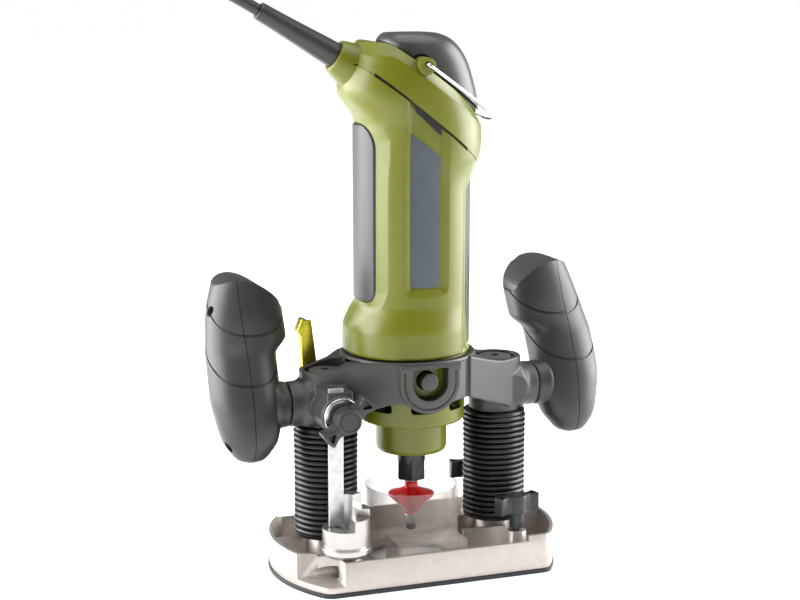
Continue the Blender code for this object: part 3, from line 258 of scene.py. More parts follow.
def turned(name, profile, closed=True, sides=72, place=None):
    """Turn a (radius, height) profile about Z, then put it in place."""
    rings = []
    for radius, z in profile:
        rings.append([(radius * math.cos(2 * math.pi * i / sides),
                       radius * math.sin(2 * math.pi * i / sides), z) for i in range(sides)])
    bm = bmesh.new()
    rows = []
    for (radius, z), ring in zip(profile, rings):
        if radius < 1e-7:
            rows.append([bm.verts.new((0, 0, z))] * sides)
        else:
            rows.append([bm.verts.new(p) for p in ring])
    pairs = list(zip(rows, rows[1:]))
    if closed:
        pairs.append((rows[-1], rows[0]))
    for lower, upper in pairs:
        for i in range(sides):
            j = (i + 1) % sides
            corners = []
            for vert in (lower[i], lower[j], upper[j], upper[i]):
                if vert not in corners:
                    corners.append(vert)
            if len(corners) > 2:
                bm.faces.new(corners)
    piece = from_bm(name, bm)
    if place is not None:
        piece.data.transform(place)
    return piece


def rounded(profile, radius, steps=4, closed=True):
    """Round the corners of a profile or outline."""
    points = []
    count = len(profile)
    for i, corner in enumerate(profile):
        if not closed and i in (0, count - 1):
            points.append(corner)
            continue
        here = Vector(corner)
        before = Vector(profile[i - 1])
        after = Vector(profile[(i + 1) % count])
        reach = min(radius, (before - here).length * 0.45, (after - here).length * 0.45)
        start = here + (before - here).normalized() * reach
        end = here + (after - here).normalized() * reach
        for k in range(steps + 1):
            t = k / steps
            points.append(tuple(start * (1 - t) ** 2 + here * 2 * t * (1 - t) + end * t ** 2))
    return points


def lathe(name, profile, radius, sides=72, place=None, steps=4):
    """A solid turned from a profile that starts and ends on the axis, its corners rounded."""
    return turned(name, rounded(profile, radius, steps, closed=False), closed=False,
                  sides=sides, place=place)


def frontwards(x, z):
    """Stands a piece drawn along Z on its back, so that it points to the front."""
    return Matrix.Translation((x, 0, z)) @ Matrix.Rotation(math.radians(90), 4, "X")


def outwards(side):
    """Lays a piece drawn along Z on its side at the handles' height."""
    return Matrix.Translation((0, 0, NECK_Z)) @ Matrix.Rotation(math.radians(90 * side), 4, "Y")


def prism(name, outline, low, high, turn=None):
    """A flat outline made solid between two levels along Z, or turned."""
    bm = bmesh.new()
    base = [bm.verts.new((x, y, low)) for x, y in outline]
    face = bm.faces.new(base)
    lifted = bmesh.ops.extrude_face_region(bm, geom=[face])
    verts = [v for v in lifted["geom"] if isinstance(v, bmesh.types.BMVert)]
    bmesh.ops.translate(bm, verts=verts, vec=(0, 0, high - low))
    bmesh.ops.triangulate(bm, faces=[f for f in bm.faces if len(f.verts) > 4])
    if turn is not None:
        bmesh.ops.transform(bm, verts=bm.verts, matrix=turn)
    return from_bm(name, bm)


def skin(name, rows):
    """Skin rings of points, an array (rings, points, 3), into a tube with closed ends."""
    rows = np.asarray(rows, float)
    rings, count = rows.shape[:2]
    verts = rows.reshape(-1, 3)
    faces = []
    for r in range(rings - 1):
        a = r * count
        b = a + count
        faces += [(a + i, a + (i + 1) % count, b + (i + 1) % count, b + i)
                  for i in range(count)]
    faces.append(tuple(range(count))[::-1])
    faces.append(tuple(range((rings - 1) * count, rings * count)))
    return from_grid(name, verts.tolist(), faces)


def csg(piece, adds=(), cuts=(), keeps=()):
    """Add, cut and keep with other solids, which are used up."""
    tools = []
    for operation, group in (("UNION", adds), ("DIFFERENCE", cuts), ("INTERSECT", keeps)):
        for tool in group:
            change = piece.modifiers.new("change", "BOOLEAN")
            change.operation = operation
            change.solver = "MANIFOLD"
            change.object = tool
            tools.append(tool)
    freeze(piece)
    for tool in tools:
        bpy.data.objects.remove(tool)
    return piece


def cast(piece, voxel):
    """Give a built-up solid the rounded edges of a casting."""
    remesh = piece.modifiers.new("skin", "REMESH")
    remesh.mode = "VOXEL"
    remesh.voxel_size = voxel
    relax = piece.modifiers.new("relax", "SMOOTH")
    relax.factor = 0.5
    relax.iterations = 3
    freeze(piece)
    piece.data.shade_smooth()
    return piece


def finish_piece(piece, body, slot, material, *replaced, angle=38):
    """Shade a piece, give it a material and body, and hide the solids it stands for; the slot
    argument is not used.
    """
    if angle:
        smooth_shade(piece, angle)
    piece.data.materials.clear()
    piece.data.materials.append(material)
    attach(piece, body)
    if replaced:
        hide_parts(*replaced)
    return piece


def smooth_route(points, steps):
    """Points on a smooth curve through the given ones."""
    route = [Vector(p) for p in points]
    line = []
    for i in range(len(route) - 1):
        before = route[max(i - 1, 0)]
        start, end = route[i], route[i + 1]
        after = route[min(i + 2, len(route) - 1)]
        for k in range(steps):
            t = k / steps
            line.append(0.5 * (2 * start + (end - before) * t
                               + (2 * before - 5 * start + 4 * end - after) * t ** 2
                               + (3 * start - before - 3 * end + after) * t ** 3))
    line.append(route[-1])
    return line


def tube_mesh(name, points, radius, sides=16):
    """A round tube along points, without twist, closed at both ends."""
    line = [Vector(p) for p in points]
    radii = radius if isinstance(radius, (list, tuple)) else [radius] * len(line)
    rows = []
    side = None
    for i, place in enumerate(line):
        ahead = (line[min(i + 1, len(line) - 1)] - line[max(i - 1, 0)]).normalized()
        if side is None:
            side = ahead.cross(Vector((0.31, 0.83, 0.47))).normalized()
        side = (side - ahead * side.dot(ahead)).normalized()
        other = ahead.cross(side)
        rows.append([tuple(place + radii[i] * (side * math.cos(2 * math.pi * k / sides)
                                               + other * math.sin(2 * math.pi * k / sides)))
                     for k in range(sides)])
    return skin(name, rows)


# ------------------------------------------------------------ curves through stations

def flow(stations, z):
    """The columns after the first, as smooth monotone curves of the first (a height)."""
    table = np.array(stations, float)
    heights, values = table[:, 0], table[:, 1:]
    rise = np.diff(values, axis=0) / np.diff(heights)[:, None]
    slope = np.zeros_like(values)
    slope[0], slope[-1] = rise[0], rise[-1]
    same = rise[:-1] * rise[1:] > 0
    total = np.where(same, rise[:-1] + rise[1:], 1.0)
    slope[1:-1] = np.where(same, 2 * rise[:-1] * rise[1:] / total, 0.0)
    z = np.clip(z, heights[0], heights[-1])
    i = np.clip(np.searchsorted(heights, z) - 1, 0, len(heights) - 2)
    span = (heights[i + 1] - heights[i])[..., None]
    t = ((z - heights[i])[..., None]) / span
    return ((2 * t ** 3 - 3 * t ** 2 + 1) * values[i] + (t ** 3 - 2 * t ** 2 + t) * span * slope[i]
            + (3 * t ** 2 - 2 * t ** 3) * values[i + 1] + (t ** 3 - t ** 2) * span * slope[i + 1])


def on_section(stations, angle, z, power, offset=0.0):
    """Points on a body of oval level sections; an offset moves them outwards."""
    columns = flow(stations, z)
    left, right, depth = columns[..., 0], columns[..., 1], columns[..., 2]
    middle_y = columns[..., 3] if columns.shape[-1] > 3 else 0.0
    across, along = np.cos(angle), np.sin(angle)
    x = (left + right) / 2 + np.sign(across) * np.abs(across) ** (2 / power) * (right - left) / 2
    y = middle_y + np.sign(along) * np.abs(along) ** (2 / power) * depth
    return np.stack([x + offset * across, y + offset * along, z + 0 * x], axis=-1)


def level_of(stations, angle, power, level, low, high):
    """For each angle, the height at which the side meets the surface z = level(x, y)."""
    z = np.linspace(low, high, 200)[:, None] + 0 * angle[None, :]
    points = on_section(stations, angle[None, :] + 0 * z, z, power)
    over = z - level(points[..., 0], points[..., 1])
    first = np.argmax(over > 0, axis=0)
    before = np.maximum(first - 1, 0)
    column = np.arange(len(angle))
    start, end = over[before, column], over[first, column]
    share = np.where(first > 0, -start / np.where(end == start, 1.0, end - start), 0.0)
    met = z[before, column] + share * (z[first, column] - z[before, column])
    return np.where((over > 0).any(axis=0), met, high)


def band(name, stations, power, angles, lower, upper, outside, inside, closed):
    """A strip that hugs a body between two slanting levels, from inside to outside its skin."""
    low_z, high_z = lower(angles), upper(angles)
    corners = [on_section(stations, angles, low_z, power, outside),
               on_section(stations, angles, high_z, power, outside),
               on_section(stations, angles, high_z, power, -inside),
               on_section(stations, angles, low_z, power, -inside)]
    rows = np.stack(corners, axis=1)
    if not closed:
        return skin(name, rows)
    count = len(angles)
    verts = rows.reshape(-1, 3).tolist()
    faces = []
    for r in range(count):
        n = (r + 1) % count
        faces += [(4 * r + k, 4 * r + (k + 1) % 4, 4 * n + (k + 1) % 4, 4 * n + k)
                  for k in range(4)]
    return from_grid(name, verts, faces)


# ------------------------------------------------------------ motor housing

BODY_STATIONS = (
    (0.1426, -0.0434, 0.0352, 0.0397), (0.1445, -0.0443, 0.0361, 0.0405),
    (0.1580, -0.0441, 0.0361, 0.0403), (0.1668, -0.0408, 0.0362, 0.0386),
    (0.1750, -0.0373, 0.0364, 0.0371), (0.1900, -0.0370, 0.0366, 0.0368),
    (0.2450, -0.0370, 0.0369, 0.0368), (0.2518, -0.0370, 0.0374, 0.0369),
    (0.2594, -0.0370, 0.0394, 0.0372), (0.2680, -0.0370, 0.0430, 0.0378),
    (0.2780, -0.0370, 0.0441, 0.0382), (0.2880, -0.0373, 0.0434, 0.0383),
    (0.2975, -0.0414, 0.0418, 0.0382), (0.3050, -0.0462, 0.0402, 0.0377),
    (0.3110, -0.0474, 0.0390, 0.0370), (0.3200, -0.0455, 0.0366, 0.0356),
    (0.3300, -0.0412, 0.0340, 0.0336), (0.3450, -0.0348, 0.0292, 0.0300),
)
BODY_POWER = 2.15
CHAMFER_IN, CHAMFER_DROP = 0.0058, 0.0075
PIVOT_X, PIVOT_Z = -0.0035, 0.3262
BOOT_START = Vector((-0.0500, 0.0, 0.3300))
BOOT_END = Vector((-0.0995, 0.0, 0.3588))
LABEL = (-0.0133, 0.0054, 0.1875, 0.2840, 0.2692)   # left, right, bottom, top at either side


def head_top(x, y=0.0):
    """Height of the head's top: level at the left, then sloping down to the right."""
    slope = 0.3349 - 0.7203 * (x + 0.0177)
    blend = 0.0010
    return 0.3387 - blend * np.log1p(np.exp((0.3387 - slope) / blend))


def vent_line(x, y=0.0):
    """Height of the slanting seam and vent across the head."""
    return 0.3200 - 0.8065 * (x + 0.0341)


def panel_depth(angle, z):
    """How far the flat round either side pad lies under the round of the body."""
    turned_in = np.abs(np.angle(np.exp(1j * (angle - math.pi))))
    u = np.clip(turned_in / math.radians(47), 0, 1)
    low = 0.1630 + 0.0270 * (1 - np.sqrt(np.clip(1 - u ** 2, 0, 1)))
    high = 0.3100 - 0.0300 * u ** 1.3
    inside = np.minimum(np.minimum((1 - u) * 2.4, (z - low) / 0.020), (high - z) / 0.020)
    w = np.clip(inside, 0, 1)
    v = np.abs(np.angle(np.exp(1j * angle))) / math.radians(52)
    right = np.minimum(np.minimum((1 - v) * 12, (z - 0.1440) / 0.002), (0.2640 - z) / 0.014)
    return 0.0016 * (1 - (1 - w) ** 2) + 0.0008 * np.clip(right, 0, 1)


def pocket_depth(x, y, z):
    """Label pocket: a flat floor with wide bevelled walls, open to the vent above."""
    left, right, bottom = LABEL[:3]
    side = np.maximum((left - x) / 0.0034, (x - right) / 0.0062)
    below = (bottom - z) / 0.0050
    outside = np.hypot(np.clip(side, 0, 2), np.clip(below, 0, 2))
    depth = 0.0024 * np.clip(1 - outside, 0, 1)
    return np.where((y < 0) & (z < vent_line(x)), depth, 0.0)


def motor_skin():
    """The whole closed outside of the motor housing."""
    fine = np.linspace(math.radians(238), math.radians(302), 150, endpoint=False)
    rest = np.linspace(math.radians(302), math.radians(598), 300, endpoint=False)
    angles = np.concatenate([fine, rest])

    def rim(x, y):
        return head_top(x) - CHAMFER_DROP
    top = level_of(BODY_STATIONS, angles, BODY_POWER, rim, 0.2500, 0.3449)
    edge = 0.0007
    low = 0.1426
    rows = []
    for t in np.linspace(0, math.pi / 2, 5)[:-1]:
        z = low + 0.0014 * (1 - math.cos(t)) + 0 * angles
        rows.append(on_section(BODY_STATIONS, angles, z, BODY_POWER,
                               -0.0014 * (1 - math.sin(t))))
    for s in np.linspace(0, 1, 240):
        z = (low + 0.0014) + s * (top - edge - low - 0.0014)
        row = on_section(BODY_STATIONS, angles, z, BODY_POWER)
        inward = panel_depth(angles, z) + pocket_depth(row[:, 0], row[:, 1], z)
        row[:, 0] -= inward * np.cos(angles)
        row[:, 1] -= inward * np.sin(angles)
        rows.append(row)
    start = rows[-1]
    corner = on_section(BODY_STATIONS, angles, top, BODY_POWER)
    centre = np.array([-0.0020, 0.0])
    inward = centre - corner[:, :2]
    inward /= np.linalg.norm(inward, axis=1)[:, None]
    flat = corner[:, :2] + inward * CHAMFER_IN
    end = np.column_stack([flat, head_top(flat[:, 0])])
    after = corner + (end - corner) * 0.09
    for t in np.linspace(0, 1, 4)[1:]:
        rows.append((1 - t) ** 2 * start + 2 * t * (1 - t) * corner + t ** 2 * after)
    for t in (0.35, 0.65, 0.95, 1.0):
        rows.append(corner + (end - corner) * t)
    for t in np.linspace(0, 0.97, 14)[1:]:
        place = flat * np.array([1 - 0.1 * t, 1 - t])
        rows.append(np.column_stack([place, head_top(place[:, 0])]))
    return skin("motor_skin", rows)


def boot_axis():
    """Places a piece drawn along Z on the lead's slanting exit."""
    turn = (BOOT_END - BOOT_START).to_track_quat("Z", "Y").to_matrix().to_4x4()
    return Matrix.Translation(BOOT_START) @ turn


def gland():
    """Flared strain-relief gland, round a slanting axis."""
    profile = [(0.0, -0.0300), (0.0205, -0.0300), (0.0192, -0.0240), (0.0168, -0.0175),
               (0.0147, -0.0120), (0.0130, -0.0070), (0.0117, -0.0030), (0.0106, 0.0002),
               (0.0099, 0.0012), (0.0, 0.0012)]
    return lathe("gland", profile, 0.0012, place=boot_axis(), steps=3)


def pad_rows(low, high, half, corner_high, corner_low, outer, inner, side, margin=0.0,
             round_over=0.0012):
    """Rings of a curved pad on the body's side, narrowing round its corners."""
    rows = []
    top, bottom = high + margin, low - margin
    wide = half + margin
    levels = np.unique(np.concatenate([
        bottom + corner_low * (1 - np.cos(np.linspace(0, math.pi / 2, 14))),
        np.linspace(bottom + corner_low, top - corner_high, 20),
        top - corner_high * (1 - np.cos(np.linspace(0, math.pi / 2, 20)))]))
    for z in levels:
        reach = wide
        if z < bottom + corner_low:
            reach = wide - corner_low + math.sqrt(max(
                0.0, corner_low ** 2 - (bottom + corner_low - z) ** 2))
        if z > top - corner_high:
            reach = wide - corner_high + math.sqrt(max(
                0.0, corner_high ** 2 - (z - top + corner_high) ** 2))
        reach = max(reach, 0.002)
        across = np.sin(np.linspace(-math.pi / 2, math.pi / 2, 33)) * reach
        edge = np.minimum(reach - np.abs(across), min(top - z, z - bottom) + 1e-9)
        drop = round_over * np.clip(1 - edge / round_over, 0, 1) ** 2 * 0.8 if round_over else 0
        face = outer - drop
        angle = across / outer
        row = [(side * r * math.cos(a), r * math.sin(a), z) for r, a in
               zip(face + 0 * across, angle)]
        row += [(side * inner * math.cos(a), inner * math.sin(a), z) for a in angle[::-1]]
        rows.append(row)
    return rows


LEFT_PAD = dict(low=0.1765, high=0.2879, half=0.0201, corner_high=0.0150, corner_low=0.0075,
                side=-1)
RIGHT_PAD = dict(low=0.1477, high=0.2517, half=0.0285, corner_high=0.0060, corner_low=0.0040,
                 side=1)


def slot_rows(left_x, right_x, face):
    """Angles, front or rear, between two X positions on the head."""
    ends = []
    for x in (left_x, right_x):
        left, right = flow(BODY_STATIONS, np.array([vent_line(x)]))[0][:2]
        across = (x - (left + right) / 2) / ((right - left) / 2)
        across = math.copysign(abs(across) ** (BODY_POWER / 2), across)
        ends.append(math.acos(max(-1.0, min(1.0, across))))
    return np.linspace(ends[0], ends[1], 40) * face


def vent(name, left_x, right_x, face, below, above, outside, inside):
    """A stretch of the slanting vent; below and above are widths either side of its line."""
    angles = slot_rows(left_x, right_x, face)

    def level(widths):
        def at(angle):
            z = level_of(BODY_STATIONS, angle, BODY_POWER, vent_line, 0.2400, 0.3449)
            share = np.arange(len(angle)) / (len(angle) - 1)
            return z + widths[0] * (1 - share) + widths[1] * share
        return at
    return band(name, BODY_STATIONS, BODY_POWER, angles, level(below), level(above), outside,
                inside, False)


# name, then left end, right end, face, widths below and above the line
VENTS = (
    ("slit", (-0.0341, 0.0243, -1, (-0.0011, -0.0011), (0.0011, 0.0011))),
    ("window", (-0.0140, 0.0054, -1, (-0.0074, -0.0057), (0.0, 0.0))),
    ("slit", (-0.0341, -0.0180, 1, (-0.0011, -0.0011), (0.0011, 0.0011))),
    ("slit", (0.0030, 0.0243, 1, (-0.0011, -0.0011), (0.0011, 0.0011))),
)


def motor_shells():
    whole = motor_skin()
    csg(whole, adds=[gland()])
    around = np.linspace(0, 2 * math.pi, 240, endpoint=False)

    def line(shift):
        return lambda a: level_of(BODY_STATIONS, a, BODY_POWER, vent_line, 0.2400,
                                  0.3449) + shift
    groove = band("groove", BODY_STATIONS, BODY_POWER, around, line(-0.0004), line(0.0004),
                  0.0020, 0.0005, True)
    cuts = [groove, skin("left_seat", pad_rows(outer=0.0450, inner=0.0350, margin=0.0005,
                                               round_over=0, **LEFT_PAD)),
            skin("right_seat", pad_rows(outer=0.0450, inner=0.0350, margin=0.0005,
                                        round_over=0, **RIGHT_PAD))]
    for name, args in VENTS:
        cuts.append(vent(name, *args, 0.0030, 0.0030))
    cuts.append(box("switch_slot", (-0.0112, 0.0250, 0.2835), (-0.0048, 0.0500, 0.3055)))
    along = (BOOT_END - BOOT_START).normalized()
    bore = cylinder("gland_bore", 0.0083, BOOT_START - along * 0.0200,
                    BOOT_START + along * 0.0200)
    cuts.append(bore)
    cuts.append(cylinder("inside", 0.0332, (0, 0, 0.1300), (0, 0, 0.2800)))
    csg(whole, cuts=cuts)
    discs = [lathe("disc", [(0.0, 0.0250), (0.0054, 0.0250), (0.0054, 0.0366), (0.0, 0.0366)],
                   0.0005, place=Matrix.Translation((PIVOT_X, 0, PIVOT_Z - 0.0012))
                   @ Matrix.Rotation(math.radians(90 * face), 4, "X")) for face in (-1, 1)]
    holes = [cylinder("bail_hole", 0.0017, (PIVOT_X, face * 0.0300, PIVOT_Z),
                      (PIVOT_X, face * 0.0450, PIVOT_Z), sides=24) for face in (-1, 1)]
    csg(whole, adds=discs, cuts=holes)
    for word, side in (("front", -1), ("rear", 1)):
        shell = link("motor_shell_" + word, whole.data.copy())
        low, high = sorted((side * GAP / 2, side * 0.0900))
        csg(shell, keeps=[box("half", (-0.1200, low, 0.1000), (0.1200, high, 0.4000))])
        finish_piece(shell, "carriage", "lime_plastic", LIME, "motor_housing_" + word, angle=34)
    # Black strips set inside the vent slits and the window as painted shade, so that the openings
    # read dark.
    for number, (name, args) in enumerate(VENTS):
        left_x, right_x, face, below, above = args
        below = tuple(width + 0.0002 for width in below)
        above = tuple(max(width - 0.0001, 0.0) for width in above)
        shade_liner = vent("vent_%d" % number, left_x, right_x, face, below, above, -0.0016, 0.0026)
        finish_piece(shade_liner, "carriage", "black_plastic", MATT_BLACK, angle=40)
    bpy.data.objects.remove(whole)


def body_trim():
    """Side pads, the plain label, the grey cap with a black band in the gap under it as painted
    shadow, bail and boot.
    """
    for word, shape in (("left", LEFT_PAD), ("right", RIGHT_PAD)):
        pad = skin(word + "_pad", pad_rows(outer=0.0372, inner=0.0353, **shape))
        finish_piece(pad, "carriage", "soft_grip", PAD_GRIP, word + "_grip_pad", angle=50)
    left, right, bottom, top_left, top_right = LABEL
    rows = []
    for share in np.linspace(0, 1, 40):
        x = left + (right - left) * share
        outer = []
        base = bottom + 0.0022 * (1 - min(1.0, min(share, 1 - share) / 0.1)) ** 2
        for z in np.linspace(base, top_left + (top_right - top_left) * share, 70):
            depth = flow(BODY_STATIONS, np.array([z]))[0]
            half = (depth[1] - depth[0]) / 2
            middle = (depth[0] + depth[1]) / 2
            y = -depth[2] * (1 - abs((x - middle) / half) ** BODY_POWER) ** (1 / BODY_POWER)
            outer.append((x, y + 0.00190, z))
        rows.append(outer + [(x, p[1] + 0.0006, p[2]) for p in outer[::-1]])
    finish_piece(skin("label", rows), "carriage", "label_grey", LABEL_FILM, "label_plate",
                 angle=50)
    cap()
    bail()
    length = (BOOT_END - BOOT_START).length
    profile = [(0.0, -0.0120), (0.0080, -0.0120), (0.0080, 0.0), (0.0077, 0.0080),
               (0.0068, 0.0250), (0.0060, 0.0420), (0.0056, length - 0.0010),
               (0.0050, length), (0.0, length)]
    boot = lathe("boot", profile, 0.0020, place=boot_axis())
    finish_piece(boot, "carriage", "black_rubber", CORD_BLACK, "cord_boot", angle=50)


CAP_STATIONS = (
    (0.2850, -0.0240, 0.0420, 0.0300), (0.3010, -0.0236, 0.0408, 0.0300),
    (0.3160, -0.0230, 0.0374, 0.0290), (0.3255, -0.0226, 0.0342, 0.0275),
    (0.3330, -0.0222, 0.0300, 0.0256), (0.3385, -0.0213, 0.0250, 0.0232),
    (0.3414, -0.0196, 0.0206, 0.0206), (0.3432, -0.0174, 0.0155, 0.0175),
)


def above_slope(name, shift):
    """A solid that holds everything above the head's top, moved up by the shift."""
    line = [(x, float(head_top(x)) + shift) for x in np.linspace(-0.0800, 0.0800, 81)]
    return prism(name, line + [(0.0800, 0.4500), (-0.0800, 0.4500)], -0.0700, 0.0700,
                 turn=UPRIGHT)


def cap():
    angles = np.linspace(0, 2 * math.pi, 160, endpoint=False)

    def dome(offset):
        rows = [on_section(CAP_STATIONS, angles, z + 0 * angles, 2.5, offset)
                for z in np.linspace(0.2850, 0.3432, 70)]
        for inset, rise in ((0.0010, 0.0003), (0.0025, 0.0005)):
            row = on_section(CAP_STATIONS, angles, 0.3432 + 0 * angles, 2.5, offset - inset)
            row[:, 2] += rise - 0.0005
            rows.append(row)
        return skin("dome", rows)
    cover = dome(0.0)
    cuts = [cylinder("notch", 0.0070, (PIVOT_X, face * 0.0150, PIVOT_Z - 0.0012),
                     (PIVOT_X, face * 0.0400, PIVOT_Z - 0.0012)) for face in (-1, 1)]
    csg(cover, keeps=[above_slope("cap_slope", 0.0019)], cuts=cuts)
    cover.name = "cap"
    finish_piece(cover, "carriage", "housing_grey", CAP_GREY, "end_cap")
    # A black band set inside the gap under the cap as painted shadow.
    gap_shade = dome(-0.0016)
    csg(gap_shade, keeps=[above_slope("gap_shade_slope", -0.0010)],
        cuts=[above_slope("gap_shade_top", 0.0110)])
    gap_shade.name = "cap_gap_shade"
    finish_piece(gap_shade, "carriage", "black_plastic", MATT_BLACK)


def bail():
    pivot = Vector((PIVOT_X, 0, PIVOT_Z))
    reach = Vector((0.0548, 0.0, -0.0385))
    arm = [pivot + Vector((0, -0.0312, 0)), pivot + Vector((0, -0.0368, 0)),
           pivot + reach * 0.03 + Vector((0, -0.0385, 0))]
    for along, half_width in ((0.15, 0.0376), (0.30, 0.0366), (0.55, 0.0347), (0.75, 0.0308),
                              (0.90, 0.0230), (0.98, 0.0115)):
        arm.append(pivot + reach * along + Vector((0, -half_width, 0)))
    other = [Vector((p.x, -p.y, p.z)) for p in reversed(arm)]
    wire = tube_mesh("bail_wire", smooth_route(arm + [pivot + reach] + other, 8), 0.0011, 14)
    finish_piece(wire, "bail", "bright_wire", WIRE, "hanging_bail", angle=50)


# ------------------------------------------------------------ handles

HANDLE_STATIONS = (
    (0.0788, 0.1070, 0.1130, -0.0060, 0.0030),
    (0.0812, 0.1010, 0.1190, -0.0058, 0.0092),
    (0.0855, 0.0968, 0.1228, -0.0052, 0.0130),
    (0.0930, 0.0918, 0.1272, -0.0035, 0.0172),
    (0.1060, 0.0888, 0.1305, 0.0000, 0.0198),
    (0.1200, 0.0882, 0.1325, 0.0040, 0.0208),
    (0.1440, 0.0874, 0.1318, 0.0148, 0.0210),
    (0.1545, 0.0790, 0.1302, 0.0205, 0.0208),
    (0.1690, 0.0788, 0.1275, 0.0285, 0.0205),
    (0.1920, 0.0796, 0.1200, 0.0365, 0.0195),
)
# the arched top: outwards from the spindle, and height
HANDLE_ARCH = (
    (0.0600, 0.1640), (0.0780, 0.1690), (0.0840, 0.1768), (0.0895, 0.1820),
    (0.0957, 0.1862), (0.1020, 0.1887), (0.1090, 0.1896), (0.1160, 0.1885),
    (0.1232, 0.1846), (0.1400, 0.1700),
)
HANDLE_POWER = 2.2
NECK_Z = 0.1125


def ring_level(front_z, front_y):
    return lambda x, y: front_z + 0.55 * (y - front_y)


def handle(side, word):
    stations = [(z, *sorted((side * inner, side * outer)), back, depth)
                for z, inner, outer, back, depth in HANDLE_STATIONS]
    stations = [(z, left, right, depth, back) for z, left, right, back, depth in stations]
    angles = np.linspace(0, 2 * math.pi, 128, endpoint=False)
    t = np.linspace(0, 1, 150)
    heights = 0.0788 + (0.1920 - 0.0788) * (t - 0.13 * np.sin(2 * math.pi * t) / math.pi)
    rows = [on_section(stations, angles, z + 0 * angles, HANDLE_POWER) for z in heights]
    grip = skin(word + "_grip", rows)
    arch = smooth_route([(side * x, 0.0, z) for x, z in HANDLE_ARCH], 10)
    above = [(x, z) for x, y, z in arch] + [(side * 0.1500, 0.2200), (side * 0.0500, 0.2200)]
    neck = lathe("neck", [(0.0, 0.0846), (0.0146, 0.0846), (0.0148, 0.0890), (0.0162, 0.0940),
                          (0.0, 0.1060)], 0.0030, place=outwards(side))
    csg(grip, adds=[neck], cuts=[prism("arch", above, -0.0600, 0.1200, turn=UPRIGHT)])
    soften(grip, 0.0008, 3, 50)
    around = np.linspace(0, 2 * math.pi, 128, endpoint=False)
    cuts = []
    for front_z, front_y in ((0.1570, 0.0010), (0.1290, -0.0130)):
        level = ring_level(front_z, front_y)

        def at(shift, level=level):
            return lambda a: level_of(stations, a, HANDLE_POWER, level, 0.0900, 0.1880) + shift
        cuts.append(band("ring", stations, HANDLE_POWER, around, at(-0.0009), at(0.0009),
                         0.0030, 0.0010, True))
    for z, x in ((0.1705, 0.1272), (0.0905, 0.1262)):
        back = float(flow(stations, np.array([z]))[0][3])
        cuts.append(cylinder("screw_hole", 0.0034, (side * (x - 0.0080), back - 0.0050, z),
                             (side * 0.1500, back - 0.0050, z), sides=32))
    cuts.append(cylinder("bolt_bore", 0.0070, (side * 0.0800, 0, NECK_Z),
                         (side * 0.1045, 0, NECK_Z), sides=40))
    csg(grip, cuts=cuts)
    for half, near, far in (("inner", 0.0500, 0.1105 - 0.0002),
                            ("outer", 0.1105 + 0.0002, 0.1700)):
        shell = link("%s_grip_%s" % (word, half), grip.data.copy())
        low, high = sorted((side * near, side * far))
        csg(shell, keeps=[box("half", (low, -0.0900, 0.0500), (high, 0.1200, 0.2300))])
        finish_piece(shell, "carriage", "soft_grip", GRIP, "%s_handle_%s" % (word, half), angle=36)
    bpy.data.objects.remove(grip)


# ------------------------------------------------------------ plunge housing

COLUMN_X = 0.0584
BOSS_TOP = 0.1335
CLAMP_X, CLAMP_Z = -0.0608, 0.1115
BAR_X, BAR_Y = -0.0634, -0.0345
LEVER_SPOT = (-0.0615, 0.0202, 0.1180)
LOCK_X, LOCK_Z = -0.0038, 0.1290
COLLAR_X = -0.0025
ARM_PLANS = {
    -1: [(-0.0100, -0.0400), (-0.0228, -0.0380), (-0.0663, -0.0148), (-0.0730, -0.0080),
         (-0.0730, 0.0080), (-0.0640, 0.0155), (-0.0520, 0.0166), (-0.0420, 0.0250),
         (-0.0200, 0.0385)],
    1: [(0.0262, -0.0300), (0.0272, -0.0336), (0.0657, -0.0152), (0.0730, -0.0080),
        (0.0730, 0.0080), (0.0640, 0.0155), (0.0520, 0.0166), (0.0420, 0.0250),
        (0.0180, 0.0370)],
}
ARM_TOPS = {
    -1: [(-0.0300, 0.1414), (-0.0446, 0.1395), (-0.0556, 0.1365), (-0.0667, 0.1333)],
    1: [(0.0280, 0.1414), (0.0435, 0.1364), (0.0526, 0.1340), (0.0600, 0.1333)],
}
ARM_UNDERSIDE = [(0.0252, 0.1155), (0.0530, 0.1054), (0.0667, 0.1002), (0.0800, 0.0992)]


def window_outline(reach, top, steps=28):
    """A round-bottomed opening, drawn in X and Z."""
    bottom = [(LOCK_X + reach * math.cos(a), LOCK_Z + reach * math.sin(a))
              for a in np.linspace(math.pi, 2 * math.pi, steps)]
    return bottom + [(LOCK_X + reach, top), (LOCK_X - reach, top)]


def arm(side):
    """Web from the clamp ring to a column boss: flat front, sloping top and underside."""
    web = prism("arm", ARM_PLANS[side], 0.0950, 0.1450)
    top = ARM_TOPS[side]
    above = prism("above", [(0.0, 0.1600), (0.0, top[0][1])] + top
                  + [(side * 0.0900, top[-1][1]), (side * 0.0900, 0.1600)],
                  -0.0600, 0.0600, turn=UPRIGHT)
    below = prism("below", [(0.0, 0.0800), (0.0, ARM_UNDERSIDE[0][1])]
                  + [(side * x, z) for x, z in ARM_UNDERSIDE] + [(side * 0.0800, 0.0800)],
                  -0.0600, 0.0600, turn=UPRIGHT)
    return csg(web, cuts=[above, below])


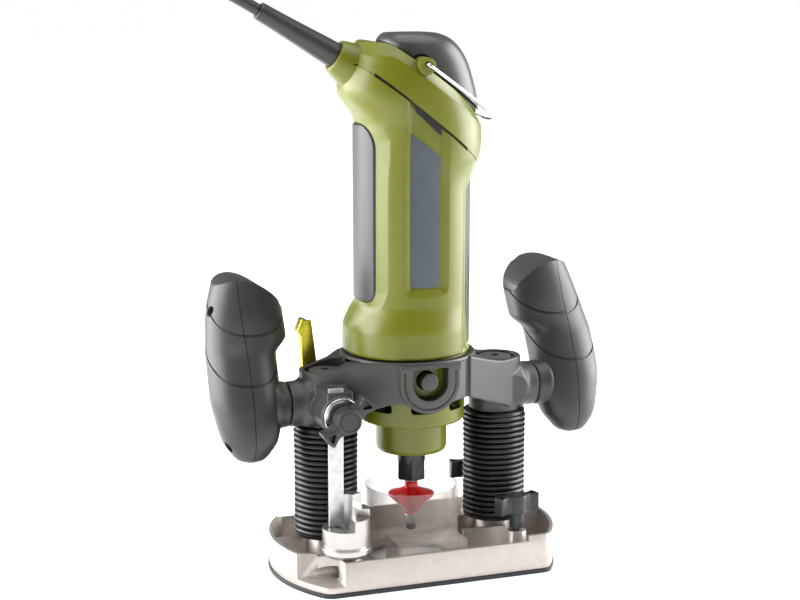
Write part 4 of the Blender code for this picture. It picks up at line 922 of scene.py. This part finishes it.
def plunge_housing():
    """The grey casting that rides on the columns and clamps the motor."""
    body = cylinder("housing", 0.0428, (COLLAR_X, 0, 0.1150), (COLLAR_X, 0, 0.1416), sides=192)
    parts = []
    for side in (-1, 1):
        x = side * COLUMN_X
        parts += [arm(side),
                  cylinder("boss", 0.0168, (x, 0, 0.0980), (x, 0, BOSS_TOP), sides=96),
                  cylinder("neck", 0.0144, (x, 0, NECK_Z), (side * 0.0842, 0, NECK_Z), sides=96)]
        flare = lathe("flare", [(0.0, 0.0600), (0.0190, 0.0600), (0.0172, 0.0735),
                                (0.0146, 0.0770), (0.0144, 0.0830), (0.0, 0.0830)], 0.0020,
                      sides=96, place=outwards(side))
        shelf = box("shelf", (-0.0900, -0.0158, 0.0984), (0.0900, 0.0158, 0.1330))
        parts.append(csg(flare, keeps=[shelf]))
    parts.append(cylinder("clamp_boss", 0.0126, (CLAMP_X, -0.0372, CLAMP_Z),
                          (CLAMP_X, 0, CLAMP_Z), sides=96))
    parts.append(box("cheek", (CLAMP_X - 0.0086, -0.0370, CLAMP_Z),
                     (CLAMP_X + 0.0082, 0, 0.1262)))
    parts.append(prism("lock_block", window_outline(0.0192, 0.1400), -0.0425, -0.0250,
                       turn=UPRIGHT))
    csg(body, adds=parts)
    cuts = [cylinder("motor_bore", 0.0370, (0, 0, 0.0800), (0, 0, 0.1600), sides=128)]
    for side in (-1, 1):
        x = side * COLUMN_X
        oval = [(x - side * 0.0006 + 0.0140 * math.copysign(abs(math.cos(a)) ** 0.9,
                                                            math.cos(a)),
                 0.0122 * math.sin(a)) for a in np.linspace(0, 2 * math.pi, 64, endpoint=False)]
        cuts.append(prism("oval", oval, BOSS_TOP - 0.0042, BOSS_TOP + 0.0200))
        cuts.append(cylinder("bush_seat", 0.0089, (x, 0, 0.0800), (x, 0, BOSS_TOP - 0.0041)))
        corner = rounded([(side * 0.0415, -0.0200), (side * 0.0405, 0.0100),
                          (side * 0.0470, -0.0070)], 0.0016)
        cuts.append(prism("corner", corner, BOSS_TOP - 0.0020, BOSS_TOP + 0.0200))
    csg(body, cuts=cuts)
    cast(body, 0.00065)
    csg(body, adds=[collar_rim(), lock_frame(), clamp_front()])
    slot = box("bar_slot", (BAR_X - 0.0054, BAR_Y - 0.0018, 0.0900),
               (BAR_X + 0.0054, BAR_Y + 0.0018, 0.1400))
    cuts = [slot, cylinder("clamp_hole", 0.0036, (CLAMP_X, -0.0500, CLAMP_Z),
                           (CLAMP_X, BAR_Y, CLAMP_Z), sides=32),
            prism("window", rounded(window_outline(0.0118, 0.1382), 0.0008, 2), -0.0600,
                  -0.0300, turn=UPRIGHT),
            cylinder("lever_hole", 0.0029, (-0.0615, 0.0130, 0.1180), (-0.0615, 0.0300, 0.1180),
                     sides=24)]
    csg(body, cuts=cuts)
    body.name = "plunge_casting"
    finish_piece(body, "carriage", "housing_grey", HOUSING, "plunge_housing")
    for side, word in ((-1, "left"), (1, "right")):
        x = side * COLUMN_X
        top = lathe("disc", [(0.0, 0.0), (0.0106, 0.0), (0.0106, 0.0030), (0.0, 0.0034)], 0.0006,
                    place=Matrix.Translation((x, 0, BOSS_TOP - 0.0036)))
        csg(top, cuts=[cylinder("hex", 0.0031, (x, 0, BOSS_TOP - 0.0030),
                                (x, 0, BOSS_TOP + 0.0100), sides=6)])
        top.name = word + "_column_cap"
        finish_piece(top, "base", "dark_steel", HOUSING_LIGHT, word + "_stop_screw")


def collar_rim():
    """Bead round the collar's top, that the motor seats against."""
    return turned("rim", rounded([(0.0395, 0.1392), (0.0430, 0.1392), (0.0435, 0.1404),
                                  (0.0428, 0.1418), (0.0395, 0.1418)], 0.0006), sides=128,
                  place=Matrix.Translation((COLLAR_X, 0, 0)))


def lock_frame():
    """Raised double rim round the spindle-lock window, with a bar across its top."""
    outer = prism("frame", window_outline(0.0198, 0.1398, 48), -0.0434, -0.0330, turn=UPRIGHT)
    inner = prism("inner", window_outline(0.0165, 0.1390, 48), -0.0440, -0.0330, turn=UPRIGHT)
    groove = csg(prism("groove", window_outline(0.0174, 0.1500, 48), -0.0500, -0.0428,
                       turn=UPRIGHT),
                 cuts=[prism("keep", window_outline(0.0166, 0.1600, 48), -0.0600, -0.0300,
                             turn=UPRIGHT)])
    csg(outer, cuts=[groove], adds=[inner])
    top = box("bar", (LOCK_X - 0.0200, -0.0446, 0.1366), (LOCK_X + 0.0200, -0.0380, 0.1408))
    csg(outer, adds=[top])
    return soften(outer, 0.0005, 2)


def clamp_front():
    """Machined front of the depth-bar clamp's boss."""
    return lathe("clamp_front", [(0.0, 0.0340), (0.0128, 0.0340), (0.0128, 0.0378),
                                 (0.0118, 0.0388), (0.0, 0.0388)], 0.0005, sides=96,
                 place=frontwards(CLAMP_X, CLAMP_Z))


def nose():
    """Lime nose under the motor, with its ring of vents and the lock button's hole."""
    profile = [(0.0362, 0.1423), (0.0362, 0.1185), (0.0342, 0.1148), (0.0342, 0.0986),
               (0.0332, 0.0970), (0.0234, 0.0964), (0.0230, 0.0950), (0.0230, 0.0788),
               (0.0219, 0.0764), (0.0205, 0.0757), (0.0110, 0.0757), (0.0110, 0.0780),
               (0.0062, 0.0780), (0.0062, 0.1150), (0.0133, 0.1150), (0.0133, 0.1260),
               (0.0165, 0.1260), (0.0165, 0.1000), (0.0312, 0.1000), (0.0328, 0.1180),
               (0.0328, 0.1423)]
    body = turned("nose", rounded(profile, 0.0010, 3), sides=180)
    cuts = [cylinder("button_hole", 0.0064, (LOCK_X, -0.0500, LOCK_Z),
                     (LOCK_X, -0.0300, LOCK_Z), sides=48)]
    for i in range(8):
        angle = math.radians(45 * i + 36)
        slot = box("slot", (0.0290, -0.0072, 0.1064), (0.0450, 0.0072, 0.1121), 0.0022, 3)
        slot.data.transform(Matrix.Rotation(angle, 4, "Z"))
        cuts.append(slot)
    csg(body, cuts=cuts)
    finish_piece(body, "carriage", "lime_plastic", LIME, "spindle_nose")


def lock_button():
    button = lathe("lock_button", [(0.0, 0.0360), (0.0058, 0.0360), (0.0058, 0.0430),
                                   (0.0, 0.0433)], 0.0009, place=frontwards(LOCK_X, LOCK_Z))
    csg(button, adds=[cylinder("pin", 0.0018, (0, -0.0380, LOCK_Z), (0, -0.0085, LOCK_Z),
                               sides=24)])
    finish_piece(button, "lock_button", "housing_grey", HOUSING, "spindle_lock_button")


# ------------------------------------------------------------ bellows and springs


def bellows(word, side):
    """Soft ribs with a plain cuff at either end, slightly waisted."""
    x, low, high = side * COLUMN_X, 0.0258, 0.0977
    ribs = 19
    cuff = 0.0022
    pitch = (high - low - 2 * cuff) / ribs
    outside = [(0.0196, low), (0.0200, low + 0.0004), (0.0200, low + cuff)]
    for rib in range(ribs):
        start = low + cuff + rib * pitch
        for t in np.linspace(0, 1, 13)[1:]:
            swell = max(0.0, math.sin(math.pi * t)) ** 0.55
            waist = 0.0004 * math.sin(math.pi * (rib + t) / ribs)
            outside.append((0.0183 - waist + 0.0025 * swell, start + t * pitch))
    outside += [(0.0200, high - cuff + 0.0002), (0.0200, high - 0.0004), (0.0196, high)]
    inside = [(0.0162, high), (0.0162, low)]
    piece = turned(word + "_boot_bellows", outside + inside, sides=96,
                   place=Matrix.Translation((x, 0, 0)))
    finish_piece(piece, "base", "black_rubber", BELLOWS, word + "_bellows", angle=50)
    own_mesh(piece)


def spring(word, side):
    """Return spring inside the bellows, a fixed coil; the real one is squeezed with them as the
    tool is plunged.
    """
    x, low, high = side * COLUMN_X, 0.0300, 0.0940
    turns = 6
    coil = [(x + 0.0105 * math.cos(a), 0.0105 * math.sin(a),
             low + (high - low) * a / (2 * math.pi * turns))
            for a in np.linspace(0, 2 * math.pi * turns, 20 * turns)]
    wire = tube_mesh(word + "_return_spring", coil, 0.0009, 8)
    finish_piece(wire, "base", "ground_steel", STEEL, word + "_spring", angle=50)
    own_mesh(wire)


# ------------------------------------------------------------ base

HALF_LENGTH, HALF_WIDTH = 0.0937, 0.0548
END_RADIUS, CORNER = 0.0890, 0.0085
FLOOR_TOP = 0.0066
KNOB_SPOT = (0.0586, 0.0378)
TURRET_SPOT = (-0.0578, -0.0372)


def base_outline(inset, steps=16):
    half_length, half_width = HALF_LENGTH - inset, HALF_WIDTH - inset
    end_radius, corner = END_RADIUS - inset, max(CORNER - inset, 0.002)
    centre_x = half_length - end_radius
    corner_y = half_width - corner
    corner_x = centre_x + math.sqrt((end_radius - corner) ** 2 - corner_y ** 2)
    lean = math.atan2(corner_y, corner_x - centre_x)
    quarter = [(centre_x + end_radius * math.cos(a), end_radius * math.sin(a))
               for a in np.linspace(0, lean, steps)]
    quarter += [(corner_x + corner * math.cos(a), corner_y + corner * math.sin(a))
                for a in np.linspace(lean, math.pi / 2, steps)[1:]]
    upper = quarter + [(-x, y) for x, y in reversed(quarter)]
    return upper + [(x, -y) for x, y in reversed(upper)][1:-1]


def notch_outline(margin):
    return [(-0.0875 - 0.6 * margin, -0.0300 + margin), (-0.0642 + margin, -0.0385 + margin),
            (-0.0642 + margin, -0.0620), (-0.1000, -0.0620), (-0.1000, -0.0250 + margin)]


def sole():
    plate = prism("sole", base_outline(0.0), 0.0, 0.0025)
    csg(plate, cuts=[cylinder("hole", 0.0285, (0, 0, -0.0010), (0, 0, 0.0040), sides=96)])
    soften(plate, 0.0004, 2)
    finish_piece(plate, "base", "black_plastic", SOLE_BLACK, "sole_plate")


def base_casting():
    """Die-cast base: ground sides and rim, rough inside, bosses and ribs."""
    body = prism("base", base_outline(0.0006), 0.0028, 0.0254)
    pocket = prism("pocket", base_outline(0.0030), FLOOR_TOP, 0.0400)
    tools = [prism("wall", notch_outline(0.0030), 0.0040, 0.0500)]
    for low, high in (((-0.0950, 0.0040), (-0.0560, 0.0068)),
                      ((0.0560, -0.0012), (0.0980, 0.0016)),
                      ((-0.0600, 0.0040), (-0.0572, 0.0560)),
                      ((0.0300, -0.0170), (0.0600, -0.0140)),
                      ((0.0300, 0.0140), (0.0600, 0.0170))):
        tools.append(box("rib", (*low, 0.0040), (*high, 0.0500)))
    csg(pocket, cuts=tools)
    csg(body, cuts=[pocket, box("middle", (-0.0760, -0.0700, 0.0216), (0.0605, 0.0700, 0.045)),
                    box("left", (-0.1100, -0.0700, 0.0232), (-0.0750, 0.0700, 0.0450))])
    bosses = [cylinder("turret_boss", 0.0110, (*TURRET_SPOT, 0.0050), (*TURRET_SPOT, 0.0216),
                       end_radius=0.0100)]
    for side in (-1, 1):
        x, knob_y = side * COLUMN_X, side * KNOB_SPOT[1]
        bosses.append(cylinder("column_boss", 0.0126, (x, 0, 0.0050), (x, 0, 0.0252),
                               end_radius=0.0112, sides=64))
        bosses.append(cylinder("knob_boss", 0.0088, (KNOB_SPOT[0], knob_y, 0.0050),
                               (KNOB_SPOT[0], knob_y, 0.0252), end_radius=0.0060, sides=64))
    csg(body, adds=bosses)
    cuts = [prism("notch", notch_outline(0.0), FLOOR_TOP, 0.0450),
            cylinder("hole", 0.0285, (0, 0, 0), (0, 0, 0.0300), sides=128)]
    csg(body, cuts=cuts)
    soften(body, 0.0005, 2, 30)
    cuts = []
    for side in (-1, 1):
        rod_y = side * KNOB_SPOT[1]
        cuts += [cylinder("column_seat", 0.0064, (side * COLUMN_X, 0, 0.0098),
                          (side * COLUMN_X, 0, 0.0450)),
                 cylinder("rod", 0.0042, (-0.1100, rod_y, 0.0112), (0.1100, rod_y, 0.0112)),
                 cylinder("thread", 0.0033, (KNOB_SPOT[0], rod_y, 0.0112),
                          (KNOB_SPOT[0], rod_y, 0.0450), sides=32)]
    cuts += [cylinder("turret_thread", 0.0029, (*TURRET_SPOT, 0.0162), (*TURRET_SPOT, 0.0450)),
             cylinder("end_hole", 0.0016, (-0.1000, 0.0114, 0.0100), (-0.0920, 0.0114, 0.0100)),
             cylinder("floor_hole", 0.0024, (0.0330, -0.0205, 0.0050),
                      (0.0330, -0.0205, 0.0300), sides=32)]
    csg(body, cuts=cuts)
    body.name = "base_body"
    finish_piece(body, "base", "cast_aluminium", CAST, "base_casting")


def guide_knob(word, side, low):
    """Two-winged clamp screw with pocketed wings."""
    x, y = KNOB_SPOT[0], side * KNOB_SPOT[1]
    body = wing_shape(0.0152, 0.0064, low, low + 0.0120)
    collar = [cylinder("collar", 0.0047, (0, 0, low - 0.0095), (0, 0, low + 0.0040)),
              cylinder("stem", 0.0030, (0, 0, low - 0.0180), (0, 0, low + 0.0040), sides=32)]
    csg(body, adds=collar)
    body.data.transform(Matrix.Translation((x, y, 0))
                        @ Matrix.Rotation(math.radians(-12 * side), 4, "Z"))
    body.name = word + "_knob_body"
    finish_piece(body, word + "_knob", "black_plastic", KNOB_BLACK, word + "_guide_knob")


def wing_shape(reach, hub, low, high):
    """Round hub with a flared wing either way, each wing dished at its top."""
    wing = [(0.0, -hub * 0.62), (reach * 0.62, -hub * 0.42), (reach * 0.94, -hub * 0.72),
            (reach, -hub * 0.5), (reach, hub * 0.5), (reach * 0.94, hub * 0.72),
            (reach * 0.62, hub * 0.42), (0.0, hub * 0.62)]
    body = lathe("wing_hub", [(0.0, low), (hub, low), (hub, high), (0.0, high)], 0.0008, sides=64)
    adds, cuts = [], []
    for side in (-1, 1):
        part = prism("wing", rounded([(side * px, py) for px, py in wing], 0.0014), low + 0.0004,
                     high - 0.0004)
        adds.append(soften(part, 0.0005, 2))
        dish = rounded([(side * reach * 0.60, 0.0), (side * reach * 0.90, -hub * 0.46),
                        (side * reach * 0.90, hub * 0.46)], 0.0009)
        cuts.append(prism("dish", dish, high - 0.0035, high + 0.0050))
    cuts.append(turned("hub_ring", rounded([(hub * 0.68, high - 0.0005), (hub * 0.76,
                       high - 0.0005), (hub * 0.76, high + 0.0020), (hub * 0.68,
                       high + 0.0020)], 0.0001), sides=64))
    return csg(body, adds=adds, cuts=cuts)


def clamp_knob():
    """Wing knob of the depth clamp, its screw, and the washers behind it."""
    body = wing_shape(0.0182, 0.0080, 0.0, 0.0104)
    csg(body, adds=[cylinder("screw", 0.0030, (0, 0, -0.0200), (0, 0, 0.0010), sides=32),
                    cylinder("back", 0.0060, (0, 0, -0.0060), (0, 0, 0.0020), sides=48)])
    place = (Matrix.Translation((CLAMP_X, -0.0442, CLAMP_Z))
             @ Matrix.Rotation(math.radians(-39), 4, "Y")
             @ Matrix.Rotation(math.radians(90), 4, "X"))
    body.data.transform(place)
    body.name = "clamp_knob_body"
    finish_piece(body, "clamp_knob", "black_plastic", KNOB_BLACK, "depth_clamp_knob")
    upright = frontwards(CLAMP_X, CLAMP_Z)
    washer = turned("washer", rounded([(0.0037, 0.0390), (0.0084, 0.0390), (0.0084, 0.0412),
                                       (0.0037, 0.0412)], 0.0003), place=upright)
    finish_piece(washer, "carriage", "black_rubber", WASHER, "clamp_washer")
    ring = turned("clamp_ring", rounded([(0.0086, 0.0389), (0.0118, 0.0389), (0.0115, 0.0402),
                                         (0.0086, 0.0406)], 0.0004), place=upright)
    finish_piece(ring, "carriage", "ground_steel", STEEL)


def turret():
    x, y = TURRET_SPOT
    r = 0.0157
    place = Matrix.Translation((x, y, 0))
    body = turned("turret_body", rounded([
        (r - 0.0008, 0.0590), (r - 0.0008, 0.0296), (r - 0.0015, 0.0290), (r - 0.0015, 0.0283),
        (r, 0.0277), (r, 0.0246), (r - 0.0026, 0.0221), (0.0033, 0.0219), (0.0033, 0.0590)],
        0.0003), sides=96)
    cuts = []
    for start, end, top in ((-97, -22, 0.0467), (-34, 30, 0.0515)):
        arc = [(0.0260 * math.cos(math.radians(a)), 0.0260 * math.sin(math.radians(a)))
               for a in np.linspace(start, end, 16)]
        cuts.append(prism("step", [(0.0, 0.0)] + arc, top, 0.0700))
    cuts.append(box("low", (-0.0300, -0.0300, 0.0400), (0.0010, 0.0300, 0.0700)))
    cuts.append(cylinder("bore", 0.0065, (0, 0, 0.0364), (0, 0, 0.0700)))
    csg(body, cuts=cuts)
    soften(body, 0.0003, 2, 40)
    body.data.transform(place)
    finish_piece(body, "depth_turret", "bright_aluminium", TURRET, "turret")


def depth_bar():
    bar = box("bar", (BAR_X - 0.0048, BAR_Y - 0.00125, 0.0403),
              (BAR_X + 0.0048, BAR_Y + 0.00125, 0.1287), 0.0003, 2)
    finish_piece(bar, "depth_rod", "galvanised_steel", ZINC, "depth_bar", angle=50)


def chip_shield():
    """Clear cup with a thick rim, over a clear box at the front."""
    low, high = FLOOR_TOP + GAP, 0.0522
    cup = turned("shield", rounded([(0.0307, high), (0.0307, low), (0.0290, low),
                                    (0.0290, high)], 0.0006), sides=128)
    skirt = box("skirt", (-0.0268, -0.0508, low), (0.0190, -0.0240, 0.0275), 0.0008, 2)
    hollow = box("hollow", (-0.0250, -0.0490, 0.0), (0.0172, -0.0200, 0.0257), 0.0006, 2)
    csg(skirt, cuts=[hollow, cylinder("cup_space", 0.0300, (0, 0, 0), (0, 0, 0.0400),
                                      sides=128)])
    csg(cup, adds=[skirt])
    finish_piece(cup, "base", "clear_plastic", CLEAR, "chip_shield")


def cutter():
    """Collet nut, red chamfer cutter with two flutes, and its guide bearing."""
    flats = prism("flats", [(0.0085 / math.cos(math.radians(30)) * math.cos(math.radians(a)),
                             0.0085 / math.cos(math.radians(30)) * math.sin(math.radians(a)))
                            for a in range(12, 372, 60)], 0.0500, 0.0690)
    top = cylinder("collar", 0.0092, (0, 0, 0.0680), (0, 0, 0.0800), sides=64)
    csg(flats, adds=[top])
    nut = turned("nut", [(0.0052, 0.0738), (0.0098, 0.0738), (0.0104, 0.0730), (0.0104, 0.0568),
                         (0.0094, 0.0560), (0.0040, 0.0560), (0.0036, 0.0565), (0.0036, 0.0600),
                         (0.0052, 0.0660)], sides=96)
    csg(nut, keeps=[flats])
    finish_piece(nut, "spindle", "dark_steel", NUT_BLACK, "collet_nut", angle=25)
    shank = turned("shank", [(0.0, 0.0770), (0.0028, 0.0770), (0.0030, 0.0765),
                             (0.0030, 0.0537), (0.0, 0.0537)], closed=False, sides=48)
    finish_piece(shank, "spindle", "bright_wire", WIRE, angle=40)
    bit = lathe("cutter", [
        (0.0, 0.0538), (0.0040, 0.0538), (0.0044, 0.0530), (0.0044, 0.0502), (0.0080, 0.0480),
        (0.0150, 0.0459), (0.0150, 0.0446), (0.0050, 0.0348), (0.0042, 0.0320),
        (0.0, 0.0320)], 0.0005, sides=96)
    cuts = []
    for turn in (35, 215):
        gullet = box("gullet", (0.0014, 0.0, 0.0338), (0.0200, 0.0200, 0.0508))
        gullet.data.transform(Matrix.Rotation(math.radians(turn), 4, "Z"))
        cuts.append(gullet)
    csg(bit, cuts=cuts)
    finish_piece(bit, "spindle", "red_enamel", RED, "router_bit")
    for number, turn in enumerate((35, 215)):
        tip = prism("carbide_%d" % number, [(0.0046, 0.0340), (0.0153, 0.0447),
                                            (0.0153, 0.0459), (0.0075, 0.0483),
                                            (0.0046, 0.0470)], -0.0010, -0.0001, turn=UPRIGHT)
        tip.data.transform(Matrix.Rotation(math.radians(turn), 4, "Z"))
        finish_piece(tip, "spindle", "bright_wire", STEEL, angle=None)
    post = turned("pilot_post", [(0.0, 0.0322), (0.0016, 0.0322), (0.0016, 0.0259),
                                 (0.0032, 0.0258), (0.0034, 0.0246), (0.0034, 0.0224),
                                 (0.0028, 0.0214), (0.0, 0.0214)], closed=False, sides=48)
    finish_piece(post, "spindle", "dark_steel", NUT_BLACK, angle=40)
    ring = turned("bearing", rounded([(0.0042, 0.0314), (0.0042, 0.0262), (0.0019, 0.0262),
                                      (0.0019, 0.0314)], 0.0003), sides=64)
    finish_piece(ring, "guide_bearing", "bright_wire", WIRE, "bit_bearing")


def lever():
    """Pressed channel lever, yellow passivated, behind the left column boss."""
    outline = rounded([(-0.0050, -0.0050), (0.0050, -0.0050), (0.0046, 0.0150),
                       (0.0020, 0.0430), (-0.0035, 0.0440), (-0.0072, 0.0360),
                       (-0.0050, 0.0330), (-0.0048, 0.0150)], 0.0008)
    turn = Matrix.Rotation(math.radians(-2), 4, "Y") @ UPRIGHT
    body = prism("lever", outline, 0.0, 0.0085, turn=turn)
    channel = prism("channel", [(-0.0036, -0.0100), (0.0034, -0.0100), (0.0034, 0.0160),
                                (0.0008, 0.0470), (-0.0024, 0.0470), (-0.0036, 0.0160)],
                    0.0012, 0.0200, turn=UPRIGHT)
    csg(body, cuts=[channel])
    soften(body, 0.0003, 2)
    csg(body, adds=[cylinder("screw", 0.0024, (0, -0.0055, 0), (0, 0.0035, 0), sides=32)])
    body.data.transform(Matrix.Translation(LEVER_SPOT))
    body.name = "lever"
    finish_piece(body, "lock_lever", "passivated_steel", PASSIVATED, "plunge_lock_lever")


# ------------------------------------------------------------ cord

CORD_RADIUS = 0.00375
COIL_CENTRE = (-0.3200, 0.0)
LEAD_ROUTE = (
    (-0.0998, 0.0000, 0.3590), (-0.1190, 0.0003, 0.3698), (-0.1420, 0.0015, 0.3802),
    (-0.1700, 0.0045, 0.3880), (-0.2000, 0.0095, 0.3900), (-0.2290, 0.0160, 0.3840),
    (-0.2530, 0.0230, 0.3705), (-0.2715, 0.0300, 0.3480), (-0.2835, 0.0360, 0.3160),
    (-0.2890, 0.0410, 0.2700), (-0.2895, 0.0445, 0.2150), (-0.2870, 0.0465, 0.1600),
    (-0.2830, 0.0475, 0.1100), (-0.2790, 0.0478, 0.0680), (-0.2765, 0.0462, 0.0400),
    (-0.2752, 0.0400, 0.0200), (-0.2748, 0.0300, 0.0085),
)
TAIL_ROUTE = (
    (-0.3300, -0.0452, 0.0113), (-0.3400, -0.0454, 0.0107), (-0.3500, -0.0455, 0.0095),
    (-0.3600, -0.0455, 0.0082), (-0.3690, -0.0455, 0.0073), (-0.3740, -0.0455, 0.0070),
)
PLUG_START, PLUG_Y, PLUG_Z = -0.3744, -0.0455, 0.0070


def coil_path():
    """Clockwise turns: outer to inner on the floor, back out on top, then down to the tail."""
    cx, cy = COIL_CENTRE
    low, high = 0.00378, 0.01140
    radii = (0.0450, 0.03735, 0.0297)
    points = []
    step = math.radians(6)
    angle = 0.0
    plan = [(radii[0], low, 300), (radii[1], low, 360), (radii[2], low, 360),
            (radii[2], high, 360), (radii[1], high, 360), (radii[0], high, 150)]
    radius, z = plan[0][0], 0.0052
    for target, level, sweep in plan:
        count = round(sweep / 6)
        for i in range(count):
            share = min(1.0, i / 12)
            ease = share * share * (3 - 2 * share)
            reach = radius + (target - radius) * ease
            points.append((cx + reach * math.cos(-angle), cy + reach * math.sin(-angle),
                           z + (level - z) * ease))
            angle += step
        radius, z = target, level
    return points


def cord():
    """One lead: out of the boot, down beside the tool, coiled, and to its plug."""
    start = BOOT_END + (BOOT_END - BOOT_START).normalized() * GAP
    lead = [tuple(start)] + [tuple(p) for p in LEAD_ROUTE[1:]]
    turns = coil_path()
    route = smooth_route(lead + [(-0.2749, 0.0150, 0.0062)], 8) + [Vector(p) for p in turns]
    route += smooth_route([turns[-1]] + list(TAIL_ROUTE), 6)[1:]
    line = tube_mesh("mains_cord", route, CORD_RADIUS, 14)
    smooth_shade(line, 50)
    line.data.materials.append(CORD_BLACK)
    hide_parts("cord_lead", "cord_coil", "cord_tail")
    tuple(LEAD_ROUTE[2])
    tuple(LEAD_ROUTE[12])
    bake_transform(line)
    length = sum((b - a).length for a, b in zip(route, route[1:]))
    plug = plug_piece()
    [tuple(p) for p in route]
    print("cord", round(length, 3))


def plug_piece():
    sections = ((0.0, 0.0046, 0.0046), (0.0015, 0.0051, 0.0049), (0.0080, 0.0055, 0.0050),
                (0.0150, 0.0085, 0.0060), (0.0260, 0.0100, 0.0068), (0.0315, 0.0097, 0.0067),
                (0.0330, 0.0090, 0.0062))
    steps = np.linspace(0, 0.0330, 60)
    sizes = flow(sections, steps)
    rows = []
    for step, (wide, tall) in zip(steps, sizes):
        ridge = 0.00035 * (math.sin(step * 2600) > 0.2) if 0.002 < step < 0.0130 else 0.0
        rows.append([(PLUG_START - step, PLUG_Y + (wide - ridge) * math.cos(a),
                      PLUG_Z + (tall - ridge) * math.sin(a))
                     for a in np.linspace(0, 2 * math.pi, 48, endpoint=False)])
    return finish_piece(skin("plug", rows), "base", "black_rubber", CORD_BLACK, "plug_body",
                        angle=40)


# ------------------------------------------------------------ build

camera()
LIME = surface("lime", (0.118, 0.130, 0.003), 0.36, grain=0.010, grain_size=0.55, mottle=0.035)
HOUSING = surface("housing", (0.040, 0.038, 0.037), 0.42, grain=0.030, grain_size=0.7)
HOUSING_LIGHT = surface("housing_light", (0.085, 0.082, 0.080), 0.36, grain=0.015)
CAP_GREY = surface("cap_grey", (0.045, 0.042, 0.041), 0.36, grain=0.010)
GRIP = surface("grip", (0.030, 0.0285, 0.0275), 0.44, grain=0.030, grain_size=0.5)
PAD_GRIP = surface("pad_grip", (0.026, 0.026, 0.028), 0.42, grain=0.020, grain_size=0.5)
MATT_BLACK = surface("matt_black", (0.006, 0.006, 0.006), 0.65, grain=0.010)
KNOB_BLACK = surface("knob_black", (0.017, 0.017, 0.018), 0.38, grain=0.015)
SOLE_BLACK = surface("sole_black", (0.012, 0.012, 0.018), 0.45, grain=0.015)
BELLOWS = surface("bellows", (0.006, 0.006, 0.007), 0.36, grain=0.010)
CORD_BLACK = surface("cord_black", (0.022, 0.022, 0.024), 0.38, grain=0.012)
WASHER = surface("washer", (0.040, 0.030, 0.026), 0.60, grain=0.020)
CAST = surface("cast", (0.50, 0.46, 0.43), 0.38, 0.70, grain=0.050, grain_size=0.8,
               mottle=0.05, mottle_size=5)
TURRET = surface("turret_metal", (0.46, 0.445, 0.43), 0.30, 0.9, grain=0.015,
                 brushed=(0.3, 0.3, 3.0))
ZINC = surface("zinc", (0.48, 0.49, 0.50), 0.36, 0.90, grain=0.010, mottle=0.18,
               mottle_size=6)
STEEL = surface("steel", (0.62, 0.61, 0.60), 0.25, 1.0, grain=0.006, brushed=(1, 1, 0.2))
NUT_BLACK = surface("nut_black", (0.030, 0.030, 0.032), 0.28, 0.6, grain=0.010)
WIRE = surface("wire", (0.60, 0.60, 0.60), 0.18, 1.0, grain=0.004)
RED = surface("red", (0.70, 0.010, 0.012), 0.30, grain=0.006, coat=0.3)
PASSIVATED = surface("passivated", (0.42, 0.38, 0.03), 0.26, 0.85, grain=0.010, mottle=0.15)
LABEL_FILM = surface("label_film", (0.055, 0.070, 0.083), 0.40, grain=0.003)
BRONZE = surface("bronze", (0.45, 0.30, 0.14), 0.42, 0.9, grain=0.020)
COPPER = surface("copper", (0.72, 0.36, 0.20), 0.32, 0.9, grain=0.040, grain_size=1.2)
CARBON = surface("carbon", (0.025, 0.025, 0.026), 0.60, grain=0.020)
LAMINATION = surface("lamination", (0.20, 0.20, 0.21), 0.40, 0.8, grain=0.060,
                     brushed=(0.05, 0.05, 4.0))
CLEAR = clear_finish("clear", (0.36, 0.32, 0.29), 0.14, 0.17, 0.80)
cord()
studio()
motor_shells()
body_trim()
for side, word in ((-1, "left"), (1, "right")):
    handle(side, word)
    bellows(word, side)
    spring(word, side)
plunge_housing()
nose()
lock_button()
sole()
base_casting()
guide_knob("front", -1, 0.0368)
guide_knob("rear", 1, 0.0405)
turret()
depth_bar()
clamp_knob()
chip_shield()
cutter()
lever()

KEPT = {
    STEEL: ("left_column", "right_column", "turret_screw", "left_handle_bolt",
            "right_handle_bolt", "front_bearing", "rear_bearing", "motor_shaft"),
    MATT_BLACK: ("switch_module", "bearing_bracket", "cooling_fan"),
    KNOB_BLACK: ("power_switch",),
    WIRE: ("plug_pin_front", "plug_pin_rear"),
    BRONZE: ("left_column_bush", "right_column_bush", "front_brush_holder",
             "rear_brush_holder"),
    COPPER: ("armature",),
    CARBON: ("front_carbon_brush", "rear_carbon_brush"),
    LAMINATION: ("stator",),
}
for finish, nodes in KEPT.items():
    for name in nodes:
        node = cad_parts[name]
        node.data.materials.clear()
        node.data.materials.append(finish)
